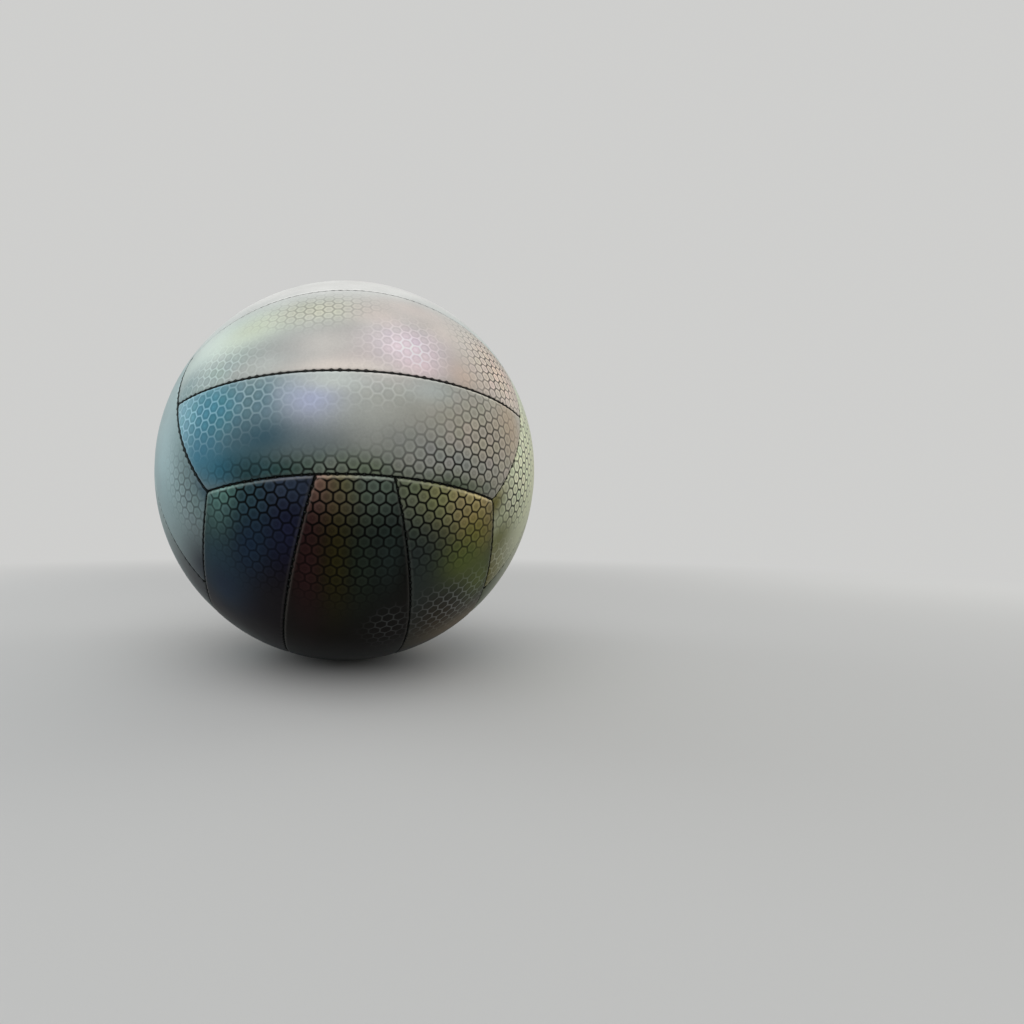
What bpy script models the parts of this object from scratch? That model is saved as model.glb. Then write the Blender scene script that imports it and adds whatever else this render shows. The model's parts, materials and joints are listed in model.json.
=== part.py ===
"""A size 5 volleyball of eighteen strips, sewn with turned-in edges over a cloth lining and a bladder.

The ball's own frame has its centre at the origin, the front face towards -Y, the right face towards +X and
the top face, with the valve, towards +Z. Each face holds three strips side by side. Every seam is a flat
cut through the sphere, so on its face it is a straight line, across = offset + slope * out, where "out" is
the distance towards the face's middle and "across" the distance across the strips, both in ball radii.
"""

from math import asin, cos, hypot, pi, radians, sin, sqrt

import bmesh
import bpy
import numpy as np
from mathutils import Matrix

for left_over in list(bpy.data.objects):
    bpy.data.objects.remove(left_over, do_unlink=True)

# Driving dimensions of the ball, in metres
BALL_DIAMETER = 0.210
FACE_WIDTH = 0.1415  # across a face's three strips at mid-length, over the surface
MIDDLE_STRIP_WIDTH = 0.0571  # at mid-length, over the surface
MIDDLE_STRIP_END_WIDTH = 0.0307  # straight across
PANEL_THICKNESS = 0.0022
EDGE_ROUND_WIDTH = 0.0014
EDGE_ROUND_DEPTH = 0.0010
FLANGE_THICKNESS = 0.0012
SEAM_GAP = 0.0007
LINING_THICKNESS = 0.0006
BLADDER_THICKNESS = 0.0008
THREAD_DIAMETER = 0.0006
CLEARANCE = 0.0003

# Driving dimensions of the valve, in metres
VALVE_RECESS = 0.0008
VALVE_RIM_WIDTH = 0.0010
VALVE_FLANGE_DIAMETER = 0.030
VALVE_FLANGE_THICKNESS = 0.0010
VALVE_TUBE_WALL = 0.0012
VALVE_TUBE_DEPTH = 0.020  # from the rim to the tube's open end
PLUG_DIAMETER = 0.0058
PLUG_LENGTH = 0.022  # from the face of its head to its nose
PLUG_NOSE_TAPER = 0.0010
PLUG_HEAD_DIAMETER = 0.0080
PLUG_HEAD_THICKNESS = 0.0014
NEEDLE_HOLE_DIAMETER = 0.0012
NEEDLE_HOLE_DEPTH = 0.016

# How the ball lies: turned about its valve axis, then tipped back
LIE_SPIN_DEG = 3.0
LIE_TILT_DEG = 31.0

# How finely curved surfaces are divided
CELLS_ALONG = 10
CELLS_ACROSS = 3
TURNED_STEPS = 24
BLADDER_ARC_STEPS = 16
FLANGE_ARC_STEPS = 2
THREAD_POINT_SPACING = 0.013
THREAD_BEVEL_RESOLUTION = 1
SHARP_EDGE_DEG = 40
MERGE_DISTANCE = 1e-6

# Radii of the layers, from the surface inwards
BALL_RADIUS = BALL_DIAMETER / 2
GROOVE_RADIUS = BALL_RADIUS - EDGE_ROUND_DEPTH
TRAY_RADIUS = BALL_RADIUS - PANEL_THICKNESS
LINING_OUTER_RADIUS = TRAY_RADIUS - CLEARANCE
LINING_INNER_RADIUS = LINING_OUTER_RADIUS - LINING_THICKNESS

# Each face: the way it looks, the way its strips run, the way they lie side by side, and their names
FACES = {
    "front": ((0, -1, 0), (1, 0, 0), (0, 0, 1), ("lower", "middle", "upper")),
    "rear": ((0, 1, 0), (1, 0, 0), (0, 0, 1), ("lower", "middle", "upper")),
    "bottom": ((0, 0, -1), (0, 1, 0), (1, 0, 0), ("left", "middle", "right")),
    "top": ((0, 0, 1), (0, 1, 0), (1, 0, 0), ("left", "middle", "right")),
    "left": ((-1, 0, 0), (0, 0, 1), (0, 1, 0), ("front", "middle", "rear")),
    "right": ((1, 0, 0), (0, 0, 1), (0, 1, 0), ("front", "middle", "rear")),
}
VALVE_STRIP = "top_middle"


# Seam lines

def line_through(first, second):
    """The seam line (offset, slope) through two points, each given as (across, out)."""
    slope = (first[0] - second[0]) / (first[1] - second[1])
    return first[0] - slope * first[1], slope


def moved(line, distance):
    """The seam line moved sideways by a distance in metres, towards larger across."""
    offset, slope = line
    return offset + distance / BALL_RADIUS * hypot(1, slope), slope


def mirrored(line):
    """The same seam on the other half of its face."""
    return -line[0], -line[1]


def between(low, high, share):
    """A line that lies the given share of the way from one line to another."""
    return tuple(a + (b - a) * share for a, b in zip(low, high))


def end_of_line(line, end_line):
    """How far along its face a line runs before it meets the face's end.

    The end is a long side of the neighbouring face, for which this face's out is its across and this face's
    along is its out. Putting both lines into the sphere's equation leaves a quadratic for along.
    """
    offset, slope = line
    end_offset, end_slope = end_line
    rate = slope * end_slope
    start = offset + slope * end_offset
    a = 1 + end_slope ** 2 + rate ** 2
    b = end_offset * end_slope + start * rate
    c = end_offset ** 2 + start ** 2 - 1
    return (sqrt(b * b - a * c) - b) / a


def turn_radius(line):
    """The radius of the circle that a line's flat cut makes on the sphere."""
    offset, slope = line
    return sqrt(1 - offset ** 2 / (1 + slope ** 2))


def points_on_line(line, along):
    """Points of unit radius on a line, as rows of (out, along, across), at the given along values."""
    offset, slope = line
    along = np.asarray(along)
    a = 1 + slope ** 2
    b = offset * slope
    out = (np.sqrt(b * b - a * (offset ** 2 + along ** 2 - 1)) - b) / a
    return np.stack([out, along, offset + slope * out], axis=-1)


def in_ball_frame(points, face):
    """Turns rows of (out, along, across) into the ball's own x, y, z."""
    return np.asarray(points) @ np.array(FACES[face][:3], float)


# A face's long side passes through its corners, which lie as a cube's do
CORNER = (1 / sqrt(3), 1 / sqrt(3))
FACE_HALF_ANGLE = FACE_WIDTH / BALL_DIAMETER
FACE_SIDE = line_through((sin(FACE_HALF_ANGLE), cos(FACE_HALF_ANGLE)), CORNER)

# The seam beside a middle strip passes through its widest point and its end
STRIP_HALF_ANGLE = MIDDLE_STRIP_WIDTH / BALL_DIAMETER
STRIP_END_ACROSS = MIDDLE_STRIP_END_WIDTH / BALL_DIAMETER
STRIP_END_ALONG = end_of_line((STRIP_END_ACROSS, 0), FACE_SIDE)
STRIP_END_OUT = sqrt(1 - STRIP_END_ACROSS ** 2 - STRIP_END_ALONG ** 2)
STRIP_SIDE = line_through((sin(STRIP_HALF_ANGLE), cos(STRIP_HALF_ANGLE)), (STRIP_END_ACROSS, STRIP_END_OUT))

# The seams on the low and the high side of a face's first, second and third strip
STRIP_SIDES = (
    (mirrored(FACE_SIDE), mirrored(STRIP_SIDE)),
    (mirrored(STRIP_SIDE), STRIP_SIDE),
    (STRIP_SIDE, FACE_SIDE),
)


# Grids over a strip

def strip_grid(sides, insets):
    """A grid of unit points over one strip, as rows across of (out, along, across).

    The outermost rows and columns lie at the first inset from the strip's seams, the next ones at the second
    inset, and so on. CELLS_ACROSS by CELLS_ALONG even cells fill what the last inset encloses.
    """
    low_lines = [moved(sides[0], inset) for inset in insets]
    high_lines = [moved(sides[1], -inset) for inset in insets]
    shares = [step / CELLS_ACROSS for step in range(1, CELLS_ACROSS)]
    inner_lines = [between(low_lines[-1], high_lines[-1], share) for share in shares]
    rows = []
    for line in low_lines + inner_lines + high_lines[::-1]:
        ends = [end_of_line(line, moved(FACE_SIDE, inset)) for inset in insets]
        last_turn = asin(ends[-1] / turn_radius(line))
        even = turn_radius(line) * np.sin(np.linspace(-last_turn, last_turn, CELLS_ALONG + 1))
        along = np.concatenate([np.negative(ends[:-1]), even, ends[:-1][::-1]])
        rows.append(points_on_line(line, along))
    return np.array(rows)


def rim_places(rows, columns):
    """The (row, column) places round the border of a grid, in order."""
    places = [(0, column) for column in range(columns - 1)]
    places += [(row, columns - 1) for row in range(rows - 1)]
    places += [(rows - 1, column) for column in range(columns - 1, 0, -1)]
    places += [(row, 0) for row in range(rows - 1, 0, -1)]
    return places


class StripSolid:
    """Gathers the points and faces of one closed solid that covers a strip of a face."""

    def __init__(self, face):
        self.face = face
        self.points = []
        self.faces = []

    def add(self, points):
        """Adds points given as (out, along, across) and returns their numbers in the same arrangement."""
        points = in_ball_frame(points, self.face)
        first = len(self.points)
        self.points.extend(points.reshape(-1, 3).tolist())
        return first + np.arange(points[..., 0].size).reshape(points.shape[:-1])

    def cover(self, grid):
        """Faces over a grid of point numbers."""
        corners = [grid[:-1, :-1], grid[:-1, 1:], grid[1:, 1:], grid[1:, :-1]]
        self.faces.extend(np.stack(corners, axis=-1).reshape(-1, 4).tolist())

    def join(self, first, second):
        """Faces between two closed loops with the same count of points."""
        ring = np.stack([first, np.roll(first, -1), np.roll(second, -1), second], axis=-1)
        self.faces.extend(ring.tolist())

    def join_wider(self, loop, kept, second):
        """Faces between a loop and another that has a point only below each kept place of the first."""
        for number, start in enumerate(kept):
            stop = kept[(number + 1) % len(kept)] or len(loop)
            upper = [loop[place % len(loop)] for place in range(start, stop + 1)]
            self.faces.append(upper + [second[(number + 1) % len(kept)], second[number]])

    def mesh(self, name):
        """The finished mesh."""
        mesh = bpy.data.meshes.new(name)
        mesh.from_pydata(self.points, [], self.faces)
        return with_outward_faces(mesh)


def with_outward_faces(mesh):
    """Turns every face of a closed mesh outwards and shades it smooth, with its sharp edges kept."""
    solid = bmesh.new()
    solid.from_mesh(mesh)
    bmesh.ops.recalc_face_normals(solid, faces=solid.faces)
    solid.to_mesh(mesh)
    solid.free()
    mesh.shade_smooth()
    mesh.set_sharp_from_angle(angle=radians(SHARP_EDGE_DEG))
    return mesh


# Finishes and placing

def finish(name, colour, roughness, metallic=0.0):
    """A plain finish of one colour."""
    material = bpy.data.materials.new(name)
    material.use_nodes = True
    shader = material.node_tree.nodes["Principled BSDF"]
    shader.inputs["Base Color"].default_value = (*colour, 1)
    shader.inputs["Roughness"].default_value = roughness
    shader.inputs["Metallic"].default_value = metallic
    return material


COVER_FILM = finish("cover_film", (0.42, 0.43, 0.41), 0.38, 0.25)
LINING_CLOTH = finish("lining_cloth", (0.72, 0.70, 0.64), 0.9)
SEAM_THREAD = finish("seam_thread", (0.03, 0.04, 0.035), 0.7)
BLADDER_RUBBER = finish("bladder_rubber", (0.05, 0.05, 0.05), 0.6)
SEAT_RUBBER = finish("seat_rubber", (0.06, 0.06, 0.06), 0.55)
PLUG_RUBBER = finish("plug_rubber", (0.55, 0.56, 0.54), 0.5)


def guide(name, parent=None):
    """An empty that sub-parts hang on."""
    empty = bpy.data.objects.new(name, None)
    bpy.context.collection.objects.link(empty)
    empty.parent = parent
    return empty


def placed(name, data, material, parent):
    """Puts a mesh or a curve into the scene as one named sub-part."""
    piece = bpy.data.objects.new(name, data)
    data.materials.append(material)
    bpy.context.collection.objects.link(piece)
    piece.parent = parent
    return piece


BALL = guide("ball_lie")
TIP = Matrix.Rotation(radians(-LIE_TILT_DEG), 4, "X")
SPIN = Matrix.Rotation(radians(LIE_SPIN_DEG), 4, "Z")
BALL.matrix_world = TIP @ SPIN

# The valve's axis is the ball's own +Z, and its guide sits where the valve's rim is
RIM_HEIGHT = BALL_RADIUS - VALVE_RECESS
VALVE = guide("valve_axis", BALL)
VALVE.location = (0, 0, RIM_HEIGHT)


# Cover strips and their linings

def cover_mesh(name, face, sides):
    """A cover strip: a curved tray whose rounded border drops into the seam and turns in as a flange."""
    half_gap = SEAM_GAP / 2
    crown = strip_grid(sides, [half_gap, half_gap + EDGE_ROUND_WIDTH])
    rows, columns = crown.shape[:2]
    radii = np.full((rows, columns, 1), BALL_RADIUS)
    radii[[0, -1], :] = GROOVE_RADIUS
    radii[:, [0, -1]] = GROOVE_RADIUS
    tray = strip_grid(sides, [half_gap + FLANGE_THICKNESS])
    tray_rim = tuple(np.transpose(rim_places(*tray.shape[:2])))

    solid = StripSolid(face)
    crown_numbers = solid.add(crown * radii)
    solid.cover(crown_numbers)
    rim = rim_places(rows, columns)
    kept = [at for at, (row, column) in enumerate(rim)
            if row not in (1, rows - 2) and column not in (1, columns - 2)]
    border = [int(crown_numbers[place]) for place in rim]
    foot = solid.add(np.array([crown[rim[at]] for at in kept]) * LINING_INNER_RADIUS).tolist()
    solid.join_wider(border, kept, foot)
    lip = solid.add(tray[tray_rim] * LINING_INNER_RADIUS)
    solid.join(foot, lip)
    tray_numbers = solid.add(tray * TRAY_RADIUS)
    solid.join(lip, tray_numbers[tray_rim])
    solid.cover(tray_numbers)
    return solid.mesh(name)


def lining_grid(sides):
    """The grid of a strip's lining, which fits inside the turned-in edges of its cover."""
    return strip_grid(sides, [SEAM_GAP / 2 + FLANGE_THICKNESS + CLEARANCE])


def lining_mesh(name, face, sides):
    """A backing cloth: an even sheet that follows the ball."""
    grid = lining_grid(sides)
    rim = tuple(np.transpose(rim_places(*grid.shape[:2])))
    solid = StripSolid(face)
    outer = solid.add(grid * LINING_OUTER_RADIUS)
    inner = solid.add(grid * LINING_INNER_RADIUS)
    solid.cover(outer)
    solid.cover(inner)
    solid.join(outer[rim], inner[rim])
    return solid.mesh(name)


STRIPS = {}
for face_name, (_, _, _, strip_names) in FACES.items():
    for strip_name, strip_sides in zip(strip_names, STRIP_SIDES):
        strip = f"{face_name}_{strip_name}"
        cover = cover_mesh(f"panel_{strip}", face_name, strip_sides)
        lining = lining_mesh(f"lining_{strip}", face_name, strip_sides)
        STRIPS[strip] = (
            placed(f"panel_{strip}", cover, COVER_FILM, BALL),
            placed(f"lining_{strip}", lining, LINING_CLOTH, BALL),
        )


# Sewing thread

# The thread lies in the groove as deep as its clearance to both rounded edges lets it
THREAD_RADIUS = THREAD_DIAMETER / 2
GROOVE_SLANT = hypot(EDGE_ROUND_WIDTH, EDGE_ROUND_DEPTH)
THREAD_RISE = ((THREAD_RADIUS + CLEARANCE) * GROOVE_SLANT - EDGE_ROUND_DEPTH * SEAM_GAP / 2) / EDGE_ROUND_WIDTH
THREAD_PATH_RADIUS = GROOVE_RADIUS + THREAD_RISE
THREAD_END_GAP = THREAD_DIAMETER + CLEARANCE


def thread_path(face, line, end_gap):
    """Points along a seam, from its low end to its high end, each end short of the crossing seam."""
    end = end_of_line(line, moved(FACE_SIDE, end_gap))
    last_turn = asin(end / turn_radius(line))
    length = 2 * last_turn * turn_radius(line) * BALL_RADIUS
    turns = np.linspace(-last_turn, last_turn, round(length / THREAD_POINT_SPACING) + 1)
    points = points_on_line(line, turn_radius(line) * np.sin(turns))
    return in_ball_frame(points * THREAD_PATH_RADIUS, face)


def thread(name, path, closed=False):
    """A run of sewing thread along a path."""
    curve = bpy.data.curves.new(name, "CURVE")
    curve.dimensions = "3D"
    curve.bevel_depth = THREAD_RADIUS
    curve.bevel_resolution = THREAD_BEVEL_RESOLUTION
    curve.use_fill_caps = True
    spline = curve.splines.new("POLY")
    spline.points.add(len(path) - 1)
    spline.points.foreach_set("co", np.column_stack([path, np.ones(len(path))]).ravel())
    spline.use_cyclic_u = closed
    return placed(name, curve, SEAM_THREAD, BALL)


# Two runs inside each face
for face_name, (_, _, _, strip_names) in FACES.items():
    thread(f"thread_{face_name}_{strip_names[0]}", thread_path(face_name, mirrored(STRIP_SIDE), THREAD_END_GAP))
    thread(f"thread_{face_name}_{strip_names[2]}", thread_path(face_name, STRIP_SIDE, THREAD_END_GAP))

# Four runs join the side faces into a ring
for face_name in ("left", "right"):
    thread(f"thread_{face_name}_front_edge", thread_path(face_name, mirrored(FACE_SIDE), THREAD_END_GAP))
    thread(f"thread_{face_name}_rear_edge", thread_path(face_name, FACE_SIDE, THREAD_END_GAP))

# A closed run sews on each end face: along the front, back on the right, along the rear and back on the left
for face_name, side_of_ring in (("bottom", mirrored(FACE_SIDE)), ("top", FACE_SIDE)):
    sides_in_order = (
        thread_path("front", side_of_ring, 0),
        thread_path(face_name, FACE_SIDE, 0),
        thread_path("rear", side_of_ring, 0)[::-1],
        thread_path(face_name, mirrored(FACE_SIDE), 0)[::-1],
    )
    thread(f"thread_{face_name}_loop", np.concatenate([side[:-1] for side in sides_in_order]), closed=True)


# Bladder and valve

def turned(name, profile, base_height=0.0):
    """A solid turned about the valve's axis from a profile of (radius, height) points.

    A profile that starts and ends on the axis makes a plain solid, and one that ends where it starts a ring.
    """
    solid = bmesh.new()
    line = [solid.verts.new((radius, 0, height - base_height)) for radius, height in profile]
    edges = [solid.edges.new(pair) for pair in zip(line[:-1], line[1:])]
    bmesh.ops.spin(solid, geom=line + edges, cent=(0, 0, 0), axis=(0, 0, 1), angle=2 * pi, steps=TURNED_STEPS)
    bmesh.ops.remove_doubles(solid, verts=solid.verts, dist=MERGE_DISTANCE)
    mesh = bpy.data.meshes.new(name)
    solid.to_mesh(mesh)
    solid.free()
    return with_outward_faces(mesh)


def arc(radius, start, stop, steps):
    """Points (radius, height) of an arc round the ball's centre, by angle from the valve's axis."""
    return [(radius * sin(turn), radius * cos(turn)) for turn in np.linspace(start, stop, steps + 1)]


# The bladder fills the lining: it stays clear of the lowest middles of the lining's flat facets
CELL_CORNERS = lining_grid(STRIP_SIDES[1])
FACET_MIDDLES = (CELL_CORNERS[:-1, :-1] + CELL_CORNERS[1:, 1:]) / 2
LOWEST_FACET = np.linalg.norm(FACET_MIDDLES, axis=-1).min()
BLADDER_OUTER_RADIUS = LINING_INNER_RADIUS * LOWEST_FACET - CLEARANCE
BLADDER_INNER_RADIUS = BLADDER_OUTER_RADIUS - BLADDER_THICKNESS

COUNTERBORE_RADIUS = PLUG_HEAD_DIAMETER / 2 + CLEARANCE
STEM_RADIUS = COUNTERBORE_RADIUS + VALVE_RIM_WIDTH
STEM_HOLE_RADIUS = STEM_RADIUS + CLEARANCE
BORE_RADIUS = PLUG_DIAMETER / 2 + CLEARANCE
TUBE_RADIUS = BORE_RADIUS + VALVE_TUBE_WALL
HEAD_SEAT_HEIGHT = RIM_HEIGHT - PLUG_HEAD_THICKNESS - CLEARANCE
TUBE_END_HEIGHT = RIM_HEIGHT - VALVE_TUBE_DEPTH
FLANGE_TOP_RADIUS = BLADDER_INNER_RADIUS - CLEARANCE
FLANGE_LOW_RADIUS = FLANGE_TOP_RADIUS - VALVE_FLANGE_THICKNESS
FLANGE_ANGLE = asin(VALVE_FLANGE_DIAMETER / 2 / FLANGE_TOP_RADIUS)


def bladder_profile():
    """From the outer pole under the ball up to the valve's opening, and down the inside.

    Over the flange both arcs are divided as the flange is, so that their facets lie parallel.
    """
    outer_opening = asin(STEM_HOLE_RADIUS / BLADDER_OUTER_RADIUS)
    inner_opening = asin(STEM_HOLE_RADIUS / BLADDER_INNER_RADIUS)
    profile = arc(BLADDER_OUTER_RADIUS, pi, FLANGE_ANGLE, BLADDER_ARC_STEPS)
    profile += arc(BLADDER_OUTER_RADIUS, FLANGE_ANGLE, outer_opening, FLANGE_ARC_STEPS)[1:]
    profile += arc(BLADDER_INNER_RADIUS, inner_opening, FLANGE_ANGLE, FLANGE_ARC_STEPS)
    return profile + arc(BLADDER_INNER_RADIUS, FLANGE_ANGLE, pi, BLADDER_ARC_STEPS)[1:]


def seat_profile():
    """Up the bore and its counterbore, over the rim, down the stem and round the flange to the tube's end."""
    top_start = asin(STEM_RADIUS / FLANGE_TOP_RADIUS)
    low_start = asin(TUBE_RADIUS / FLANGE_LOW_RADIUS)
    start = (BORE_RADIUS, TUBE_END_HEIGHT)
    profile = [start, (BORE_RADIUS, HEAD_SEAT_HEIGHT), (COUNTERBORE_RADIUS, HEAD_SEAT_HEIGHT)]
    profile += [(COUNTERBORE_RADIUS, RIM_HEIGHT), (STEM_RADIUS, RIM_HEIGHT)]
    profile += arc(FLANGE_TOP_RADIUS, top_start, FLANGE_ANGLE, FLANGE_ARC_STEPS)
    profile += arc(FLANGE_LOW_RADIUS, FLANGE_ANGLE, low_start, FLANGE_ARC_STEPS)
    return profile + [(TUBE_RADIUS, TUBE_END_HEIGHT), start]


def plug_profile():
    """From the nose up the shank, round the head and down the needle's passage."""
    nose_height = RIM_HEIGHT - PLUG_LENGTH
    shank_radius = PLUG_DIAMETER / 2
    head_radius = PLUG_HEAD_DIAMETER / 2
    head_underside = RIM_HEIGHT - PLUG_HEAD_THICKNESS
    passage_radius = NEEDLE_HOLE_DIAMETER / 2
    passage_end = RIM_HEIGHT - NEEDLE_HOLE_DEPTH
    profile = [(0, nose_height), (shank_radius - PLUG_NOSE_TAPER, nose_height)]
    profile += [(shank_radius, nose_height + PLUG_NOSE_TAPER), (shank_radius, head_underside)]
    profile += [(head_radius, head_underside), (head_radius, RIM_HEIGHT)]
    return profile + [(passage_radius, RIM_HEIGHT), (passage_radius, passage_end), (0, passage_end)]


placed("bladder", turned("bladder", bladder_profile()), BLADDER_RUBBER, BALL)
placed("valve_seat", turned("valve_seat", seat_profile(), RIM_HEIGHT), SEAT_RUBBER, VALVE)
placed("valve_plug", turned("valve_plug", plug_profile(), RIM_HEIGHT), PLUG_RUBBER, VALVE)

# The valve's stem passes through a hole in its strip and in that strip's lining
CUTTER_REACH = VALVE_TUBE_DEPTH / 2
HOLE = turned("valve_hole", [
    (0, RIM_HEIGHT - CUTTER_REACH),
    (STEM_HOLE_RADIUS, RIM_HEIGHT - CUTTER_REACH),
    (STEM_HOLE_RADIUS, RIM_HEIGHT + CUTTER_REACH),
    (0, RIM_HEIGHT + CUTTER_REACH),
], RIM_HEIGHT)
cutter = placed("valve_hole", HOLE, SEAT_RUBBER, VALVE)
cutter.hide_render = True
cutter.display_type = "WIRE"
for layer in STRIPS[VALVE_STRIP]:
    cut = layer.modifiers.new("valve_hole", "BOOLEAN")
    cut.operation = "DIFFERENCE"
    cut.object = cutter
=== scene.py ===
"""Looks of a sewn volleyball: eighteen strips in a pearly film with a printed honeycomb, over dark seams.

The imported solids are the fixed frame, and every piece here is worked out in the ball's own frame: centre at
the origin, front face towards -Y, right face towards +X and top face, with the valve, towards +Z. LIE then
turns it to how the ball lies. On a face, "out" points to the face's middle, "along" runs with its strips and
"across" over them. A seam is a flat cut through the sphere, so there across = offset + slope * out, in radii.
"""

import json
from math import asin, atan2, cos, pi, radians, sin, sqrt

import bpy
import numpy as np
from mathutils import Matrix, Vector


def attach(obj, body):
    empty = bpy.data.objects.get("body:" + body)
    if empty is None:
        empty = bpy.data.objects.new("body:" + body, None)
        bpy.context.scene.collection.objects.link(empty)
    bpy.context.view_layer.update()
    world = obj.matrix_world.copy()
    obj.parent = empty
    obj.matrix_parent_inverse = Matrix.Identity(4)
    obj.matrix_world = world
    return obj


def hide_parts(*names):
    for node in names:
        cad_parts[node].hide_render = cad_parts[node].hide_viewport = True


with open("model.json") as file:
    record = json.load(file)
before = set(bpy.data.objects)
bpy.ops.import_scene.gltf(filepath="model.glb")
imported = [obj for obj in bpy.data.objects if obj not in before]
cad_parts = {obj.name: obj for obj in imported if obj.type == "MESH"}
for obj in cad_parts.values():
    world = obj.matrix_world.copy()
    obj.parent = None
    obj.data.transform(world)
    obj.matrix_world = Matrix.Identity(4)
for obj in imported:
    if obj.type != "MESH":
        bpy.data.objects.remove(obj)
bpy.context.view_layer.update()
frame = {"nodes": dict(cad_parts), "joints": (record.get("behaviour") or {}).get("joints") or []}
MM = 0.001

# Sizes of the ball that the solids were made with
BALL_RADIUS = 105 * MM
FACE_WIDTH = 141.5 * MM  # across three strips at mid-length, over the surface
MIDDLE_STRIP_WIDTH = 57.1 * MM  # at mid-length, over the surface
MIDDLE_STRIP_END_WIDTH = 30.7 * MM  # straight across
SEAM_GAP = 0.3 * MM  # between the strips' rounded edges, which swell towards each other over the thread
EDGE_ROUND_WIDTH = 1.4 * MM
EDGE_ROUND_DEPTH = 0.8 * MM
TRAY_RADIUS = BALL_RADIUS - 2.2 * MM  # the underside of a strip's film and foam
FOOT_RADIUS = TRAY_RADIUS - 0.9 * MM  # the underside of its turned-in edges

# How the ball lies: its valve axis is the plug's way out, and it is turned a little about that axis
VALVE_AXIS = Vector(frame["joints"][0]["axis"])
LIE_TILT = atan2(VALVE_AXIS.y, VALVE_AXIS.z)
LIE_SPIN = radians(3)
LIE = np.array(Matrix.Rotation(-LIE_TILT, 3, "X") @ Matrix.Rotation(LIE_SPIN, 3, "Z"))

# Each face: the way it looks, the way its strips run, the way they lie side by side, and their names
FACES = {
    "front": ((0, -1, 0), (1, 0, 0), (0, 0, 1), ("lower", "middle", "upper")),
    "rear": ((0, 1, 0), (1, 0, 0), (0, 0, 1), ("lower", "middle", "upper")),
    "bottom": ((0, 0, -1), (0, 1, 0), (1, 0, 0), ("left", "middle", "right")),
    "top": ((0, 0, 1), (0, 1, 0), (1, 0, 0), ("left", "middle", "right")),
    "left": ((-1, 0, 0), (0, 0, 1), (0, 1, 0), ("front", "middle", "rear")),
    "right": ((1, 0, 0), (0, 0, 1), (0, 1, 0), ("front", "middle", "rear")),
}
VALVE_STRIP = "top_middle"


# Seam lines

def line_through(first, second):
    """The seam line (offset, slope) through two points, each given as (across, out)."""
    slope = (first[0] - second[0]) / (first[1] - second[1])
    return first[0] - slope * first[1], slope


def moved(line, distance):
    """The seam line moved sideways by a distance in metres, towards larger across."""
    offset, slope = line
    return offset + distance / BALL_RADIUS * np.hypot(1, slope), slope


def mirrored(line):
    """The same seam on the other half of its face."""
    return -line[0], -line[1]


def end_of_line(line, end_line):
    """How far along its face a line runs before it meets the face's end.

    The end is a long side of the neighbouring face, for which this face's out is its across and this face's
    along is its out. Putting both lines into the sphere's equation leaves a quadratic for along.
    """
    offset, slope = line
    end_offset, end_slope = end_line
    rate = slope * end_slope
    start = offset + slope * end_offset
    a = 1 + end_slope ** 2 + rate ** 2
    b = end_offset * end_slope + start * rate
    c = end_offset ** 2 + start ** 2 - 1
    return (np.sqrt(b * b - a * c) - b) / a


def turn_radius(line):
    """The radius of the circle that a line's flat cut makes on the unit sphere."""
    offset, slope = line
    return np.sqrt(1 - offset ** 2 / (1 + slope ** 2))


def distance_from(line, out, across):
    """How far points lie from a line's flat cut, in metres, towards larger across."""
    offset, slope = line
    return (across - offset - slope * out) / np.hypot(1, slope) * BALL_RADIUS


def place_along(line, along):
    """The length along a seam from its middle, in metres, at the given along values."""
    turn = turn_radius(line)
    return BALL_RADIUS * turn * np.arcsin(np.clip(along / turn, -1, 1))


def in_scene(points, face):
    """Turns rows of (out, along, across) into the scene's x, y, z."""
    return points @ np.array(FACES[face][:3], float) @ LIE.T


CORNER = (1 / sqrt(3), 1 / sqrt(3))
FACE_HALF_ANGLE = FACE_WIDTH / BALL_RADIUS / 2
FACE_SIDE = line_through((sin(FACE_HALF_ANGLE), cos(FACE_HALF_ANGLE)), CORNER)
STRIP_HALF_ANGLE = MIDDLE_STRIP_WIDTH / BALL_RADIUS / 2
STRIP_END_ACROSS = MIDDLE_STRIP_END_WIDTH / BALL_RADIUS / 2
STRIP_END_ALONG = end_of_line((STRIP_END_ACROSS, 0), FACE_SIDE)
STRIP_END_OUT = sqrt(1 - STRIP_END_ACROSS ** 2 - STRIP_END_ALONG ** 2)
STRIP_SIDE = line_through((sin(STRIP_HALF_ANGLE), cos(STRIP_HALF_ANGLE)), (STRIP_END_ACROSS, STRIP_END_OUT))
STRIP_SIDES = (
    (mirrored(FACE_SIDE), mirrored(STRIP_SIDE)),
    (mirrored(STRIP_SIDE), STRIP_SIDE),
    (STRIP_SIDE, FACE_SIDE),
)
OUTER_STRIP_ANGLE = (STRIP_HALF_ANGLE + FACE_HALF_ANGLE) / 2


# Film colours, 0 to 255

PEARL = (240, 240, 237)
MINT = (215, 229, 220)
STRAW = (218, 230, 210)
CREAM = (210, 211, 194)
ASH = (173, 175, 173)
RIME = (165, 184, 181)
BLUSH = (184, 174, 172)
SHELL = (217, 208, 200)
LINEN = (230, 221, 215)
# The colour of a painted pink highlight of the film's sheen
PINK_HIGHLIGHT = (238, 222, 230)
PEACH = (242, 220, 220)
SAND = (208, 190, 175)
FROST = (157, 184, 188)
LAKE = (126, 151, 154)
HAZE = (54, 60, 70)
LEAD = (68, 72, 76)
TEAL = (82, 147, 166)
ICE = (119, 168, 184)
BLUE = (72, 131, 155)
DEEP_BLUE = (57, 110, 130)
STEEL = (66, 94, 107)
HARBOUR = (99, 133, 145)
MIST = (144, 161, 171)
LAVENDER = (168, 175, 199)
SILVER = (172, 175, 169)
SMOKE = (126, 133, 134)
STONE = (179, 171, 155)
CLAY = (170, 154, 133)
FERN = (57, 81, 73)
LICHEN = (98, 109, 89)
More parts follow.
